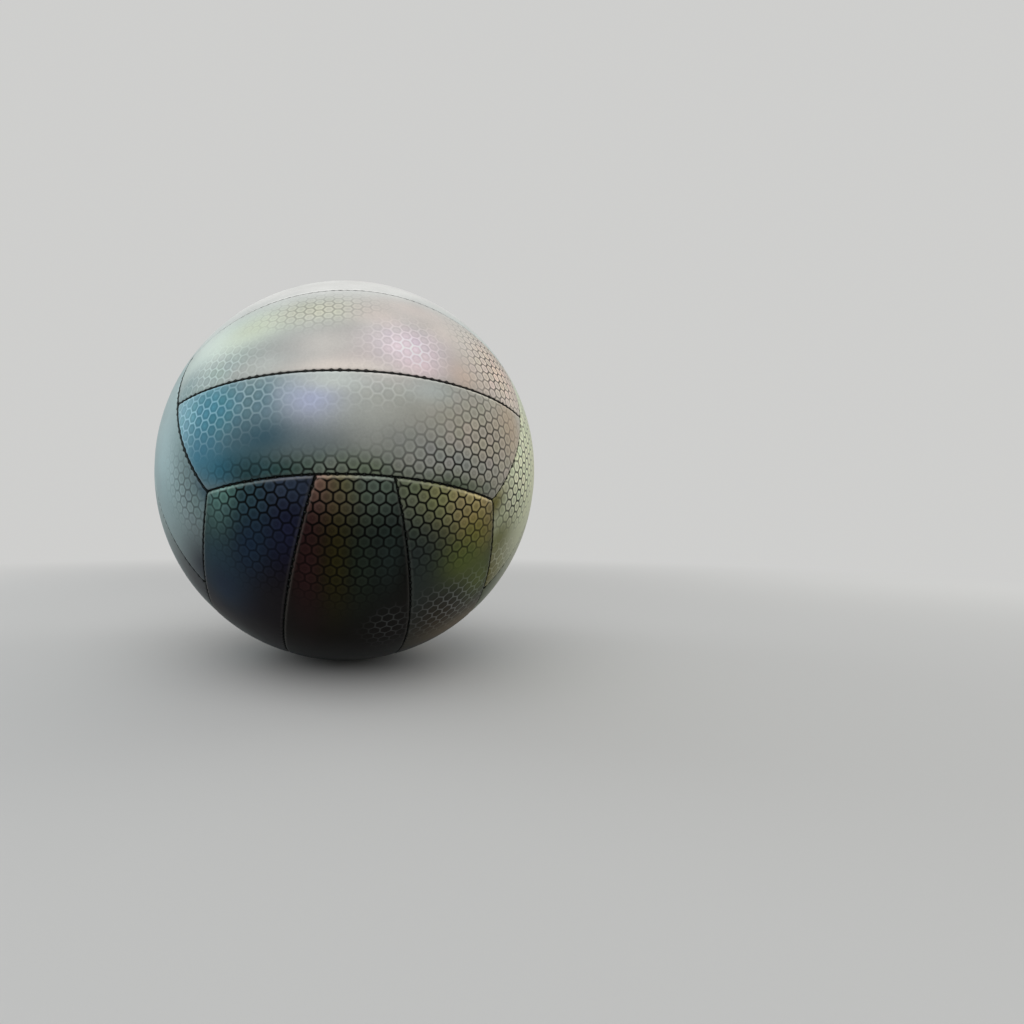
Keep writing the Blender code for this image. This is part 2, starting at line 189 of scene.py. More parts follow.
REED = (213, 217, 184)
MOSS = (113, 108, 58)
SEA_GREEN = (97, 135, 130)
PINE = (48, 76, 81)
NIGHT = (33, 50, 70)
NAVY = (31, 33, 56)
DUSK = (54, 66, 84)
SLATE = (50, 76, 87)
INK = (23, 17, 23)
RUST = (120, 90, 82)
WINE = (49, 28, 29)
OLIVE = (97, 87, 54)
BRONZE = (47, 43, 17)
SAGE = (90, 102, 92)
BOTTLE = (37, 46, 37)
TARN = (40, 50, 47)
SOOT = (15, 11, 7)
KHAKI = (128, 132, 90)
SEDGE = (104, 111, 91)
AMBER = (192, 173, 124)
HONEY = (132, 122, 64)
LEAF = (94, 105, 53)
LODEN = (47, 55, 53)
BARK = (46, 38, 24)
DUN = (110, 94, 70)
CHALK = (150, 152, 146)
ALOE = (191, 197, 193)
OYSTER = (196, 193, 188)

# The film's ground colour by height, from the ball's foot to its crown in radii: its hues are the film's own,
# and its darkening towards the foot is painted shade
GROUND_WITH_SHADE = (
    (-1.0, HAZE), (-0.8, SMOKE), (-0.4, CHALK), (0.1, SILVER), (0.4, RIME), (0.75, PEARL), (1.0, PEARL),
)


# These blooms' dark colour is partly the film's own and partly painted shade on the ball's underside.
def shaded_near_half(colour):
    """Blooms that together cover the half of a bottom strip that the photograph shows."""
    return (-95, 0, 60, 400, colour), (-60, 0, 60, 400, colour), (-15, 0, 42, 400, colour)


# Blooms on the strips that the photograph shows, in the order that they are laid: place along and across,
# reach along and across, in mm, and colour
# Besides the film's own colours, some blooms hold painted light and shade, each marked where it stands.
BLOOMS = {
    "front_upper": (
        (-34, 15, 26, 9, MINT), (8, 14, 18, 8, PEACH), (44, 14, 24, 9, ALOE), (72, 8, 16, 14, SHELL),
    ),
    "front_middle": (
        (0, -12, 90, 24, ASH), (-62, 6, 27, 18, MINT), (-86, -15, 15, 12, LAKE), (-60, -18, 20, 9, RIME),
        (-46, 4, 15, 9, STRAW), (-16, 8, 24, 10, CREAM), (-24, -17, 20, 9, ASH), (0, -20, 14, 10, BLUSH),
        # The OYSTER bloom at -11 and -15 mm is a painted highlight band.
        (-11, -15, 15, 9, OYSTER), (10, 4, 13, 9, SHELL), (74, -2, 28, 28, SAND), (40, 2, 15, 12, SHELL),
        (27, 14, 23, 10, LINEN), (48, -20, 11, 9, SAND), (-46, -21, 13, 5, ALOE), (-2, -27, 30, 5, SHELL),
        (27, -22, 10, 7, PEACH), (23, -12, 16, 11, PINK_HIGHLIGHT),
    # The last bloom here is a painted pink highlight of the film's sheen.
    ),
    "front_lower": (
        (16, 10, 60, 16, SILVER), (56, -4, 32, 28, STONE), (78, 8, 12, 18, CLAY), (-12, -11, 16, 9, SMOKE),
        # The dark blooms along this strip's lower edge, FERN, LICHEN and PINE, are partly painted shade.
        (16, -8, 18, 8, CHALK), (-70, 2, 26, 24, TEAL), (-38, -6, 22, 13, STEEL), (-30, -20, 25, 7, FERN),
        (6, -19, 20, 7, LICHEN), (-64, 8, 18, 11, TEAL), (-57, -18, 17, 10, DEEP_BLUE),
        (-72, -11, 12, 9, BLUE), (-86, 2, 10, 20, ICE), (-38, 10, 10, 10, HARBOUR), (-28, 12, 7, 6, MIST),
        # The LAVENDER bloom at -18 and 9 mm is a painted highlight of the film's sheen.
        (-18, 9, 11, 9, LAVENDER), (-9, 17, 15, 5, ALOE), (30, 16, 12, 6, ALOE), (15, 20, 13, 5, OYSTER),
        (-43, -20, 11, 7, PINE), (38, -14, 24, 7, CHALK), (42, -23, 24, 5, LICHEN),
    ),
    # The bottom strips: dark over the near half, partly the film's own dark and partly painted shade
    "bottom_left": (
        *shaded_near_half(INK), (-78, -19, 30, 12, SEA_GREEN), (-75, -5, 17, 8, PINE), (-85, 8, 11, 12, DUSK),
        (-68, 13, 16, 9, NAVY), (-38, -14, 15, 11, SLATE), (-56, 0, 18, 9, NIGHT), (-26, -9, 16, 12, NIGHT),
        (54, -8, 24, 14, LAKE), (78, 9, 20, 16, SMOKE), (66, -20, 22, 8, MIST),
    ),
    "bottom_middle": (
        *shaded_near_half(SOOT), (-60, -17, 36, 8, WINE), (-60, -5, 30, 7, BRONZE), (-62, 5, 26, 7, BOTTLE),
        (-66, 15, 22, 7, TARN), (-94, -14, 11, 8, RUST), (-94, -4, 13, 7, OLIVE), (-93, 9, 13, 12, SAGE),
        (52, 9, 24, 14, CHALK), (76, -10, 22, 16, LAKE), (88, 12, 14, 12, STONE),
    ),
    "bottom_right": (
        *shaded_near_half(LODEN), (-88, -11, 13, 10, SEDGE), (-82, 1, 14, 9, KHAKI), (-72, 17, 16, 12, AMBER),
        (-57, 14, 13, 10, HONEY), (-47, 6, 12, 11, LEAF), (-32, 15, 14, 9, LEAF), (-16, -6, 18, 15, BARK),
        (4, 8, 14, 24, DUN), (54, 6, 24, 14, SMOKE), (80, -8, 20, 16, SILVER), (70, 17, 20, 9, CLAY),
    ),
    # The side strips' pale FROST grounds are partly the film's own hue and partly painted rim light.
    "left_front": (
        # The HAZE bloom at this strip's lower end is painted shade.
        (-40, 0, 60, 60, FROST), (-60, -20, 34, 9, LAKE), (-91, 3, 18, 28, HAZE), (36, 4, 24, 18, ALOE),
        (72, 0, 20, 24, BLUSH), (-70, -26, 20, 4, STEEL),
    ),
    "left_middle": (
        (0, 0, 90, 60, FROST), (34, 8, 28, 14, LAVENDER), (-34, 9, 26, 14, RIME), (66, -6, 22, 20, ALOE),
        (-6, -14, 24, 9, LAKE), (-90, -10, 26, 28, LEAD),
    ),
    # The side strips' pale REED grounds are partly the film's own hue and partly painted rim light.
    "right_front": (
        (-40, 0, 60, 60, REED), (-76, -8, 12, 9, KHAKI), (-92, 6, 18, 18, MOSS), (38, 2, 26, 18, MINT),
        (74, 2, 18, 24, PEARL), (-68, -25, 11, 6, MOSS),
    ),
    "right_middle": (
        (0, 0, 90, 60, REED), (30, -8, 28, 13, STRAW), (-32, 10, 26, 14, STONE), (64, 6, 24, 18, SHELL),
        (2, 15, 24, 9, ALOE), (-94, -14, 16, 18, SEDGE),
    ),
}

# Where the honeycomb's lines show, laid in the same way as the blooms, and how: from dark lines, about -1, to
# light ones, 1
LINES = {
    "front_upper": ((-34, 16, 26, 10, -0.4), (48, 15, 24, 10, 0.46)),
    "front_middle": (
        (-66, -15, 22, 11, 0.45), (-16, 8, 26, 11, -0.28), (24, -12, 20, 15, 0.37), (72, -3, 20, 28, -0.74),
    ),
    "front_lower": (
        (-70, 6, 22, 14, 0.72), (-44, 11, 14, 9, 0.6), (-18, 9, 14, 9, 0.12), (12, 13, 16, 7, 0.24),
        (60, -6, 22, 26, -0.7), (42, -14, 22, 11, -0.73), (-6, -20, 48, 6, -0.78),
    ),
    "bottom_left": ((-76, -4, 21, 36, -0.82), (-52, 8, 14, 16, -0.42), (58, -4, 24, 20, -0.5)),
    "bottom_middle": (
        (-82, 0, 25, 40, -1.0), (-54, -4, 15, 20, -0.65), (-21, 18, 15, 9, 0.25), (70, 4, 28, 20, -0.55),
    ),
    "bottom_right": (
        (-78, 2, 20, 50, -1.1), (-58, 4, 11, 20, -0.65), (-20, 2, 17, 20, 0.66), (60, 0, 26, 20, -0.5),
    ),
    "left_front": ((-62, -14, 18, 11, -0.4), (42, 2, 26, 18, -0.4)),
    "left_middle": ((-30, 6, 28, 18, -0.42), (34, 6, 26, 16, 0.46), (64, -10, 18, 14, -0.3)),
    "right_front": (
        (-30, -14, 22, 14, -0.65), (-54, -12, 20, 14, -0.85), (-82, 4, 14, 14, 0.54), (44, 2, 26, 18, 0.4),
    ),
    "right_middle": ((-34, 4, 28, 18, -0.55), (32, -6, 26, 16, 0.4), (66, 8, 18, 16, -0.3)),
}

# The other strips: how many blooms and line patches drift over each, the least and the most of their places
# and reaches along and across, in mm, and of the patches' tones
DRIFTING_BLOOMS = 7
BLOOM_PLACES = ((-85, -24), (85, 24))
BLOOM_REACHES = ((14, 9), (34, 22))
DRIFTING_PATCHES = 4
PATCH_PLACES = ((-80, -20), (80, 20))
PATCH_REACHES = ((16, 12), (34, 26))
PATCH_TONES = (-0.8, 0.4)

# Colour shifts of those blooms, as shares of the ground colour
SHIFTS = (
    (0.68, 0.96, 1.06),  # teal
    (1.10, 0.93, 0.92),  # rose
    (1.07, 1.05, 0.84),  # straw
    (0.96, 0.96, 1.14),  # lavender
    (0.88, 1.06, 0.97),  # mint
    (1.10, 0.97, 0.78),  # amber
    (0.62, 0.67, 0.80),  # dusk
    (1.14, 1.09, 1.12),  # glow
)
LINE_GAIN = 1.3  # how far the line patches overshoot, which evens out their middles

# The honeycomb's rows lie square across each strip: its pitch, and where a cell's middle falls along and
# across, in mm
HONEYCOMB_PITCH = 5.1
HONEYCOMB = {
    "front_middle": (4.8, 0.2, 0.2),
    "front_lower": (5.1, 3.5, 1.0),
    "bottom_left": (5.1, -2.9, 0.9),
    "bottom_middle": (5.1, 3.1, -0.6),
    "bottom_right": (5.1, 1.4, 0.4),
}


def linear(colour):
    """A colour of 0 to 255, as a screen shows it, in the render's linear values."""
    return ((np.array(colour, float) / 255 + 0.055) / 1.055) ** 2.4


def swell(along, across, place, reach):
    """A soft round patch that falls off as a bell curve: exp of minus the squared distance over the reach."""
    return np.exp(-((along - place[0]) / reach[0]) ** 2 - ((across - place[1]) / reach[1]) ** 2)


def drifting_blooms(strip, ground):
    """Blooms and line patches for a strip that the photograph doesn't show, drawn from its own seed."""
    scatter = np.random.default_rng(sum(map(ord, strip)))
    blooms = []
    for _ in range(DRIFTING_BLOOMS):
        place = scatter.uniform(*BLOOM_PLACES)
        reach = scatter.uniform(*BLOOM_REACHES)
        shift = np.array(SHIFTS[scatter.integers(len(SHIFTS))])
        blooms.append((*place, *reach, shift * ground))
    patches = []
    for _ in range(DRIFTING_PATCHES):
        place = scatter.uniform(*PATCH_PLACES)
        reach = scatter.uniform(*PATCH_REACHES)
        patches.append((*place, *reach, scatter.uniform(*PATCH_TONES)))
    return blooms, patches


def laid_over(field, patches, along, across):
    """A field with patches laid over it in turn: each adds its bell curve times its difference from it."""
    for place_ahead, place_aside, reach_ahead, reach_aside, value in patches:
        place = (place_ahead * MM, place_aside * MM)
        reach = (reach_ahead * MM, reach_aside * MM)
        share = swell(along, across, place, reach)[..., None]
        field = field + (value - field) * share
    return field


def film_fields(strip, along, across, height):
    """The film's colour and line tone over a strip.

    The ground colour follows the height, darker towards the foot as painted shade, and the blooms are laid
    over it. The line patches are laid over a tone of 0, at which no lines show.
    """
    heights = [stop for stop, _ in GROUND_WITH_SHADE]
    grounds = np.array([linear(colour) for _, colour in GROUND_WITH_SHADE])
    ground = np.stack([np.interp(height, heights, grounds[:, part]) for part in range(3)], axis=-1)
    if strip in BLOOMS:
        blooms = [(*bloom[:4], linear(bloom[4])) for bloom in BLOOMS[strip]]
        patches = LINES[strip]
    else:
        blooms, patches = drifting_blooms(strip, ground)
    tint = laid_over(ground, blooms, along, across)
    tone = laid_over(np.zeros((*along.shape, 1)), patches, along, across)[..., 0]
    return tint, np.clip(tone * LINE_GAIN, -1, 1)


# Mesh helpers

def border(numbers):
    """The numbers round the border of a grid, in order: along the first row, up the last column and back."""
    return np.concatenate([numbers[0, :-1], numbers[:-1, -1], numbers[-1, :0:-1], numbers[:0:-1, 0]])


def cells(numbers):
    """The four corners of each cell of a grid of point numbers, kept in the grid's arrangement."""
    return np.stack([numbers[:-1, :-1], numbers[:-1, 1:], numbers[1:, 1:], numbers[1:, :-1]], axis=-1)


def ring(first, second):
    """Faces between two closed loops with the same count of points, each edge of the first run backwards."""
    return np.stack([np.roll(first, -1), first, second, np.roll(second, -1)], axis=-1)


def circle(count):
    """Rows of the cosine and the sine of even turns round a circle."""
    angles = np.arange(count) * 2 * pi / count
    return np.stack([np.cos(angles), np.sin(angles)], axis=-1)


def piece(name, points, faces, material, uv=None, values=None, smooth=None):
    """Makes a mesh object of point rows and lists of same-sized faces, with a UV map and point values.

    Points that no face uses are left out. smooth says for each list of faces whether it is shaded smooth.
    """
    corners = np.concatenate([group.ravel() for group in faces])
    sizes = np.concatenate([np.full(len(group), group.shape[1]) for group in faces])
    used, corners = np.unique(corners, return_inverse=True)
    mesh = bpy.data.meshes.new(name)
    mesh.vertices.add(len(used))
    mesh.vertices.foreach_set("co", points[used].astype(np.float32).ravel())
    mesh.loops.add(len(corners))
    mesh.loops.foreach_set("vertex_index", corners.astype(np.int32).ravel())
    mesh.polygons.add(len(sizes))
    mesh.polygons.foreach_set("loop_start", np.concatenate([[0], np.cumsum(sizes)[:-1]]).astype(np.int32))
    flags = [True] * len(faces) if smooth is None else smooth
    shading = np.concatenate([np.full(len(group), flag) for group, flag in zip(faces, flags)])
    mesh.polygons.foreach_set("use_smooth", shading)
    if uv is not None:
        layer = mesh.uv_layers.new(name="pattern")
        layer.uv.foreach_set("vector", uv[used][corners.ravel()].astype(np.float32).ravel())
    for label, value in (values or {}).items():
        kind, key = ("FLOAT", "value") if value.ndim == 1 else ("FLOAT_VECTOR", "vector")
        attribute = mesh.attributes.new(label, kind, "POINT")
        attribute.data.foreach_set(key, value[used].astype(np.float32).ravel())
    mesh.update(calc_edges=True)
    mesh.validate()
    made = bpy.data.objects.new(name, mesh)
    mesh.materials.append(material)
    bpy.context.scene.collection.objects.link(made)
    return made


def stands_for(made, node, body="ball"):
    """Lets a finished piece ride on its body in the place of a solid."""
    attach(made, body)
    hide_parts(node)


# Shader maths

class Value:
    """A node's output in a material. Arithmetic on it adds Math nodes, and make adds any other node."""

    def __init__(self, tree, socket=None):
        self.tree = tree
        self.socket = socket

    def make(self, kind, settings=None, inputs=None, output=0):
        """Adds a node: its settings first, then the values or links of its sockets."""
        node = self.tree.nodes.new("ShaderNode" + kind)
        for name, setting in (settings or {}).items():
            setattr(node, name, setting)
        for name, given in (inputs or {}).items():
            if isinstance(given, Value):
                self.tree.links.new(given.socket, node.inputs[name])
            else:
                node.inputs[name].default_value = given
        return Value(self.tree, None if output is None else node.outputs[output])

    def other(self, output):
        """Another output of the same node."""
        return Value(self.tree, self.socket.node.outputs[output])

    def math(self, operation, *values):
        """A Math node of any operation on values and numbers."""
        return self.make("Math", {"operation": operation}, dict(enumerate(values)))

    def __add__(self, other):
        return self.math("ADD", self, other)

    def __sub__(self, other):
        return self.math("SUBTRACT", self, other)

    def __rsub__(self, other):
        return self.math("SUBTRACT", other, self)

    def __mul__(self, other):
        return self.math("MULTIPLY", self, other)

    __radd__ = __add__
    __rmul__ = __mul__

    def least(self, other):
        """The smaller of two values."""
        return self.math("MINIMUM", self, other)

    def most(self, other):
        """The larger of two values."""
        return self.math("MAXIMUM", self, other)

    def rise(self, low, high):
        """A smooth step from 0 at low to 1 at high."""
        ends = {"Value": self, "From Min": low, "From Max": high}
        return self.make("MapRange", {"interpolation_type": "SMOOTHSTEP"}, ends)

    def scaled(self, share):
        """A colour or vector times a value."""
        return self.make("VectorMath", {"operation": "SCALE"}, {0: self, "Scale": share})

    def mixed(self, colour, share):
        """This colour with another laid over it."""
        return self.make("Mix", {"data_type": "RGBA"}, {0: share, 6: self, 7: colour}, output=2)


def new_finish(name, **constants):
    """A new material with constants on its main shader: it, a Value to start from, and the shader."""
    material = bpy.data.materials.new(name)
    material.use_nodes = True
    shader = material.node_tree.nodes["Principled BSDF"]
    for label, constant in constants.items():
        shader.inputs[label.replace("_", " ")].default_value = constant
    return material, Value(material.node_tree), shader


def feed(shader, label, value):
    """Links a value to one of a shader's sockets."""
    value.tree.links.new(value.socket, shader.inputs[label])


def relief(shader, height, strength, depth):
    """Gives a shader's surface a fine relief from a height, which a depth in metres scales."""
    bump = height.make("Bump", {}, {"Strength": strength, "Distance": depth, "Height": height})
    feed(shader, "Normal", bump)


def grain(start, scale, detail=2.0):
    """Noise over the piece's own coordinates, about 0 to 1."""
    place = start.make("TexCoord", output="Object")
    return start.make("TexNoise", {}, {"Vector": place, "Scale": scale, "Detail": detail})


def blended(start, low, high, share):
    """A colour between two fixed ones."""
    return start.make("Mix", {"data_type": "RGBA"}, {0: share, 6: low, 7: high}, output=2)


# Finishes

HALF_PITCH = 0.5  # from a cell's middle to its border, in pitches
ROW_STEP = sqrt(3) / 2  # between the honeycomb's rows, in pitches
CELL_ROUNDNESS = 0.28  # 0 for sharp hexagons, 1 for circles

# The print: between which distances from a cell's border each part of it comes or goes, in pitches
DARK_LINE_END = (0.036, 0.108)
LIGHT_LINE_END = (0.0248, 0.0992)
HALO_START = (0.10, 0.16)
HALO_END = (0.17, 0.30)
CORE_START = (0.22, 0.40)
DOT_START = (0.40, 0.47)
DOTTED_CELLS = (0.5, 0.8)  # the chance values between which a cell gets its dot

# How much paler, or below 0 darker, each part of the film is, as a share of its colour
DARK_LINED_HALO = 0.28
DARK_LINED_CORE = -0.17
LIGHT_LINED_HALO = -0.20
LIGHT_LINED_CORE = 0.06
DOT_SHARE = 0.24
CELL_SHARE = 0.16  # from the darkest cell to the palest
CELL_LOSS = 0.03  # taken off all cells where lines show
CLOUD_SHARE = 0.24
SPECK_SHARE = 0.20
DARK_LINE_SHARE = 0.05  # what a dark line leaves of the film's colour
CELL_HUE_SHARE = 0.06

# Light lines, and edges that are paler partly as stretched film and partly as a painted highlight where their
# rounding catches the light: the gain on the film's colour, a colour that is laid over it, and how far
LIGHT_LINE_LOOK = (1.6, (0.90, 0.95, 0.95, 1), 0.22)
STRETCHED_AND_HIGHLIT_LOOK = (1.8, (0.76, 0.74, 0.66, 1), 0.2)

# A seam's dark, painted shade in its groove that reaches further out at each stitch: the distances from the
# seam between which it goes, its colour, and how far it is laid on
SEAM_DARK_END = (0.10 * MM, 0.32 * MM)
SEAM_DARK = (0.006, 0.007, 0.006, 1)
SEAM_DARK_SHARE = 0.92
PALEST = (0.92, 0.92, 0.91)  # the most light that the film throws back

# How fine each finish's noise is, in waves to a metre
FILM_CLOUDS = 70
FILM_SPECKS = 1100
THREAD_FIBRES = 2600
RUBBER_GRAIN = 3000
RUBBER_DUST = 220
CLOTH_FLUFF = 800

# The film's own roughness, what clouds and lines add to it, and how high specks and lines stand
FILM_ROUGHNESS = 0.38
CLOUD_ROUGHNESS = 0.12
LINE_ROUGHNESS = 0.08
SPECK_HEIGHT = 0.25
LINE_HEIGHT = -0.6

# The strength and depth of each finish's relief
FILM_RELIEF = (0.25, 0.2 * MM)
RUBBER_RELIEF = (0.3, 0.1 * MM)
CLOTH_RELIEF = (0.4, 0.2 * MM)

# The other finishes' darkest and palest colours
THREAD_COLOURS = ((0.008, 0.010, 0.009, 1), (0.05, 0.055, 0.05, 1))
SEAT_COLOURS = ((0.020, 0.021, 0.021, 1), (0.045, 0.046, 0.045, 1))
PLUG_COLOURS = ((0.42, 0.43, 0.41, 1), (0.55, 0.56, 0.53, 1))
BLADDER_COLOURS = ((0.02, 0.02, 0.02, 1), (0.07, 0.07, 0.065, 1))
CLOTH_COLOURS = ((0.42, 0.40, 0.35, 1), (0.74, 0.72, 0.66, 1))
CLOTH_WAVE = 1.1 * MM  # a thread over and a thread under
CLOTH_TURN = (0.6, 0.4, 0.2)  # turns the weave away from the scene's axes


def honeycomb(across, along):
    """How far a point is inside its cell, in pitches, and a chance value, 0 to 1, that the whole cell shares.

    The cells' middles lie on two even lattices, one shifted by half a step both ways. A wave that folds each
    coordinate gives the distance to the nearest middle of either lattice, and a cell's border is half a pitch
    from its middle towards each of its neighbours. Blending in the plain distance from the middle rounds the
    cell's corners. The nearer middle, counted in half steps, seeds the chance.
    """
    fold_across = across.math("PINGPONG", across, HALF_PITCH)
    fold_along = along.math("PINGPONG", along, ROW_STEP)
    shift_across = HALF_PITCH - fold_across
    shift_along = ROW_STEP - fold_along
    reaches = []
    for aside, ahead in ((fold_across, fold_along), (shift_across, shift_along)):
        flat = aside.most(aside * cos(pi / 3) + ahead * sin(pi / 3))
        round_reach = aside.math("SQRT", aside * aside + ahead * ahead)
        reaches.append(flat * (1 - CELL_ROUNDNESS) + round_reach * CELL_ROUNDNESS)
    first, second = reaches
    nearer = first.math("LESS_THAN", first, second)
    places = []
    for coordinate in (across, along * (HALF_PITCH / ROW_STEP)):
        even = coordinate.math("ROUND", coordinate) * 2
        odd = coordinate.math("FLOOR", coordinate) * 2 + 1
        place = odd + (even - odd) * nearer
        places.append(place.math("ROUND", place))
    cell = across.make("CombineXYZ", {}, dict(enumerate(places)))
    chance = across.make("TexWhiteNoise", {"noise_dimensions": "2D"}, {"Vector": cell})
    return HALF_PITCH - first.least(second), chance


def cell_light(inside, chance, dark, light):
    """How bright the film is inside its cells, as a share of its colour.

    A dark-lined cell is paler just inside its line and darker in its middle, and a light-lined cell is darker
    there and a little paler in its middle. The cells differ in brightness, and some have a pale dot.
    """
    halo = inside.rise(*HALO_START) * (1 - inside.rise(*HALO_END))
    core = inside.rise(*CORE_START)
    dot = inside.rise(*DOT_START) * chance.rise(*DOTTED_CELLS)
    dark_cell = (halo * DARK_LINED_HALO + core * DARK_LINED_CORE) * dark
    light_cell = (core * LIGHT_LINED_CORE + halo * LIGHT_LINED_HALO) * light
    differing = chance * CELL_SHARE + dot * DOT_SHARE - CELL_LOSS
    return 1 + (dark + light) * differing + dark_cell + light_cell


def brightened(ground, gain, colour, share):
    """The film's colour made brighter, with another colour laid over it."""
    return ground.scaled(gain).mixed(colour, share)


def pearl_film():
    """The cover's film: soft blooms of colour under a printed honeycomb, dark, light or faded by place.

    Faint clouds and specks make it uneven, and each cell leans a little to a hue of its own. The film pales
    over the rounded edges, partly as stretched film and partly as a painted highlight, is dark inside the
    seams as painted shade, and is nowhere brighter than PALEST.
    """
    material, start, shader = new_finish("pearl_film", Metallic=0.3, Specular_IOR_Level=0.06)
    pattern = start.make("SeparateXYZ", {}, {0: start.make("UVMap", {"uv_map": "pattern"})}, output="X")
    inside, chance = honeycomb(pattern.other("Y"), pattern)
    tint = start.make("Attribute", {"attribute_name": "film_tint"}, output="Vector")
    tone = start.make("Attribute", {"attribute_name": "line_tone"}, output="Fac")
    seam = start.make("Attribute", {"attribute_name": "seam_distance"}, output="Fac")
    stretched_and_highlit = start.make("Attribute", {"attribute_name": "edge_stretch_and_highlight"}, output="Fac")
    cloud = grain(start, FILM_CLOUDS)
    speck = grain(start, FILM_SPECKS, detail=4.0)
    dark = (0 - tone).most(0)
    light = tone.most(0)
    dark_line = (1 - inside.rise(*DARK_LINE_END)) * dark
    light_line = (1 - inside.rise(*LIGHT_LINE_END)) * light
    uneven = 1 + (cloud - 0.5) * CLOUD_SHARE + (speck - 0.5) * SPECK_SHARE
    ground = tint.scaled(uneven * cell_light(inside, chance, dark, light))
    hue = {0: (dark + light) * CELL_HUE_SHARE, 6: ground, 7: chance.other("Color")}
    ground = start.make("Mix", {"data_type": "RGBA", "blend_type": "MULTIPLY"}, hue, output=2)
    colour = ground.mixed(ground.scaled(DARK_LINE_SHARE), dark_line)
    colour = colour.mixed(brightened(ground, *LIGHT_LINE_LOOK), light_line)
    # Paler edges: partly stretched film and partly a painted highlight where the rounding catches the light
    colour = colour.mixed(brightened(ground, *STRETCHED_AND_HIGHLIT_LOOK), stretched_and_highlit)
    # Near-black inside the seams: painted shade in the grooves
    colour = colour.mixed(SEAM_DARK, (1 - seam.rise(*SEAM_DARK_END)) * SEAM_DARK_SHARE)
    colour = start.make("VectorMath", {"operation": "MINIMUM"}, {0: colour, 1: PALEST})
    lines = dark_line + light_line
    feed(shader, "Base Color", colour)
    feed(shader, "Roughness", FILM_ROUGHNESS + cloud * CLOUD_ROUGHNESS + lines * LINE_ROUGHNESS)
    relief(shader, speck * SPECK_HEIGHT + lines * LINE_HEIGHT, *FILM_RELIEF)
    return material


def waxed_thread():
    """Dark waxed sewing thread, a little paler where its fibres stand up."""
    material, start, shader = new_finish("waxed_thread", Specular_IOR_Level=0.3)
    fibre = grain(start, THREAD_FIBRES)
    standing = fibre.rise(0.45, 0.8)
    feed(shader, "Base Color", blended(start, *THREAD_COLOURS, standing))
    feed(shader, "Roughness", 0.6 + fibre * 0.25)
    return material


def moulded_rubber(name, colours, roughness):
    """Moulded rubber: a fine matt grain with a bloom of paler dust."""
    material, start, shader = new_finish(name, Specular_IOR_Level=0.4)
    fine = grain(start, RUBBER_GRAIN)
    dusted = grain(start, RUBBER_DUST).rise(0.35, 0.7)
    feed(shader, "Base Color", blended(start, *colours, dusted))
    feed(shader, "Roughness", roughness + (fine - 0.5) * 0.2)
    relief(shader, fine, *RUBBER_RELIEF)
    return material


def backing_cloth():
    """Plain woven cotton: threads that pass over and under, from two crossed waves of the coordinates."""
    material, start, shader = new_finish("backing_cloth", Specular_IOR_Level=0.2)
    place = start.make("TexCoord", output="Object")
    turned = start.make("Mapping", {}, {0: place, "Rotation": CLOTH_TURN})
    split = start.make("SeparateXYZ", {}, {0: turned}, output="X")
    thread_rate = 2 * pi / CLOTH_WAVE
    warp = split.math("SINE", split * thread_rate)
    weft = split.math("SINE", split.other("Y") * thread_rate)
    weave = 0.5 + warp * weft * 0.5
    fluff = grain(start, CLOTH_FLUFF)
    cover = weave * 0.6 + fluff * 0.4
    feed(shader, "Base Color", blended(start, *CLOTH_COLOURS, cover))
    feed(shader, "Roughness", 0.82 + fluff * 0.15)
    relief(shader, weave, *CLOTH_RELIEF)
    return material


PEARL_FILM = pearl_film()
WAXED_THREAD = waxed_thread()
SEAT_RUBBER = moulded_rubber("seat_rubber_moulded", SEAT_COLOURS, roughness=0.55)
PLUG_RUBBER = moulded_rubber("plug_rubber_moulded", PLUG_COLOURS, roughness=0.5)
BLADDER_RUBBER = moulded_rubber("bladder_rubber_dusted", BLADDER_COLOURS, roughness=0.7)
BACKING_CLOTH = backing_cloth()


# Cover strips

# Columns and rows near a seam, as distances from the strip's wall, and even cells between the last of them
EDGE_STEPS = np.array([0, 0.08, 0.22, 0.42, 0.70, 1.05, 1.4, 2.0, 3.0]) * MM
FOOT_STEP = 2  # the edge step that the wall leans back to at its foot, which leaves room for the thread
FLANGE_STEP = 6  # the edge step where the turned-in flange ends
CELLS_ALONG = 288
CELLS_ACROSS = 64
UNDERSIDE_STEP = 8  # fine cells to a cell of the underside

# How the strip's surface sits: it swells a little between its seams, and each stitch pulls its edge in
PILLOW_DEPTH = 0.22 * MM
PILLOW_REACH = 6 * MM
STITCH_PITCH = 3.5 * MM
PUCKER_DEPTH = 0.34 * MM
PUCKER_REACH = 1.0 * MM
KNOB_REACH = 0.75 * MM  # how far a stitch's dark end reaches out of the seam
# The pale band along an edge is partly stretched film and partly a painted highlight of the rounding.
PALE_BAND_PLACE = 0.80 * MM  # the middle of the pale band along an edge, from the strip's wall
PALE_BAND_REACH = 0.42 * MM
LOW_SIDE_LINE = 0.12  # how far the dark line stands out between the stitches of a low side, in stitch ends
LOW_SIDE_ENDS = 0.88  # how far the stitch ends stand out beyond that
HIGH_SIDE_ENDS = 0.4
END_SIDE_ENDS = 0.5
STITCH_PULL = 0.6  # the stitches' mean pull
PULL_SPREAD = 0.4  # how far the pull comes and goes, as the product of two waves
PULL_WAVES = (5.3 * MM, 2.9 * MM)
PULL_SHIFT = 1  # between the waves, in radians

# How far the dark stitch ends show on a strip, where that isn't 1
STITCH_SHOW = {"front_upper": 0.6, "front_lower": 0.5}

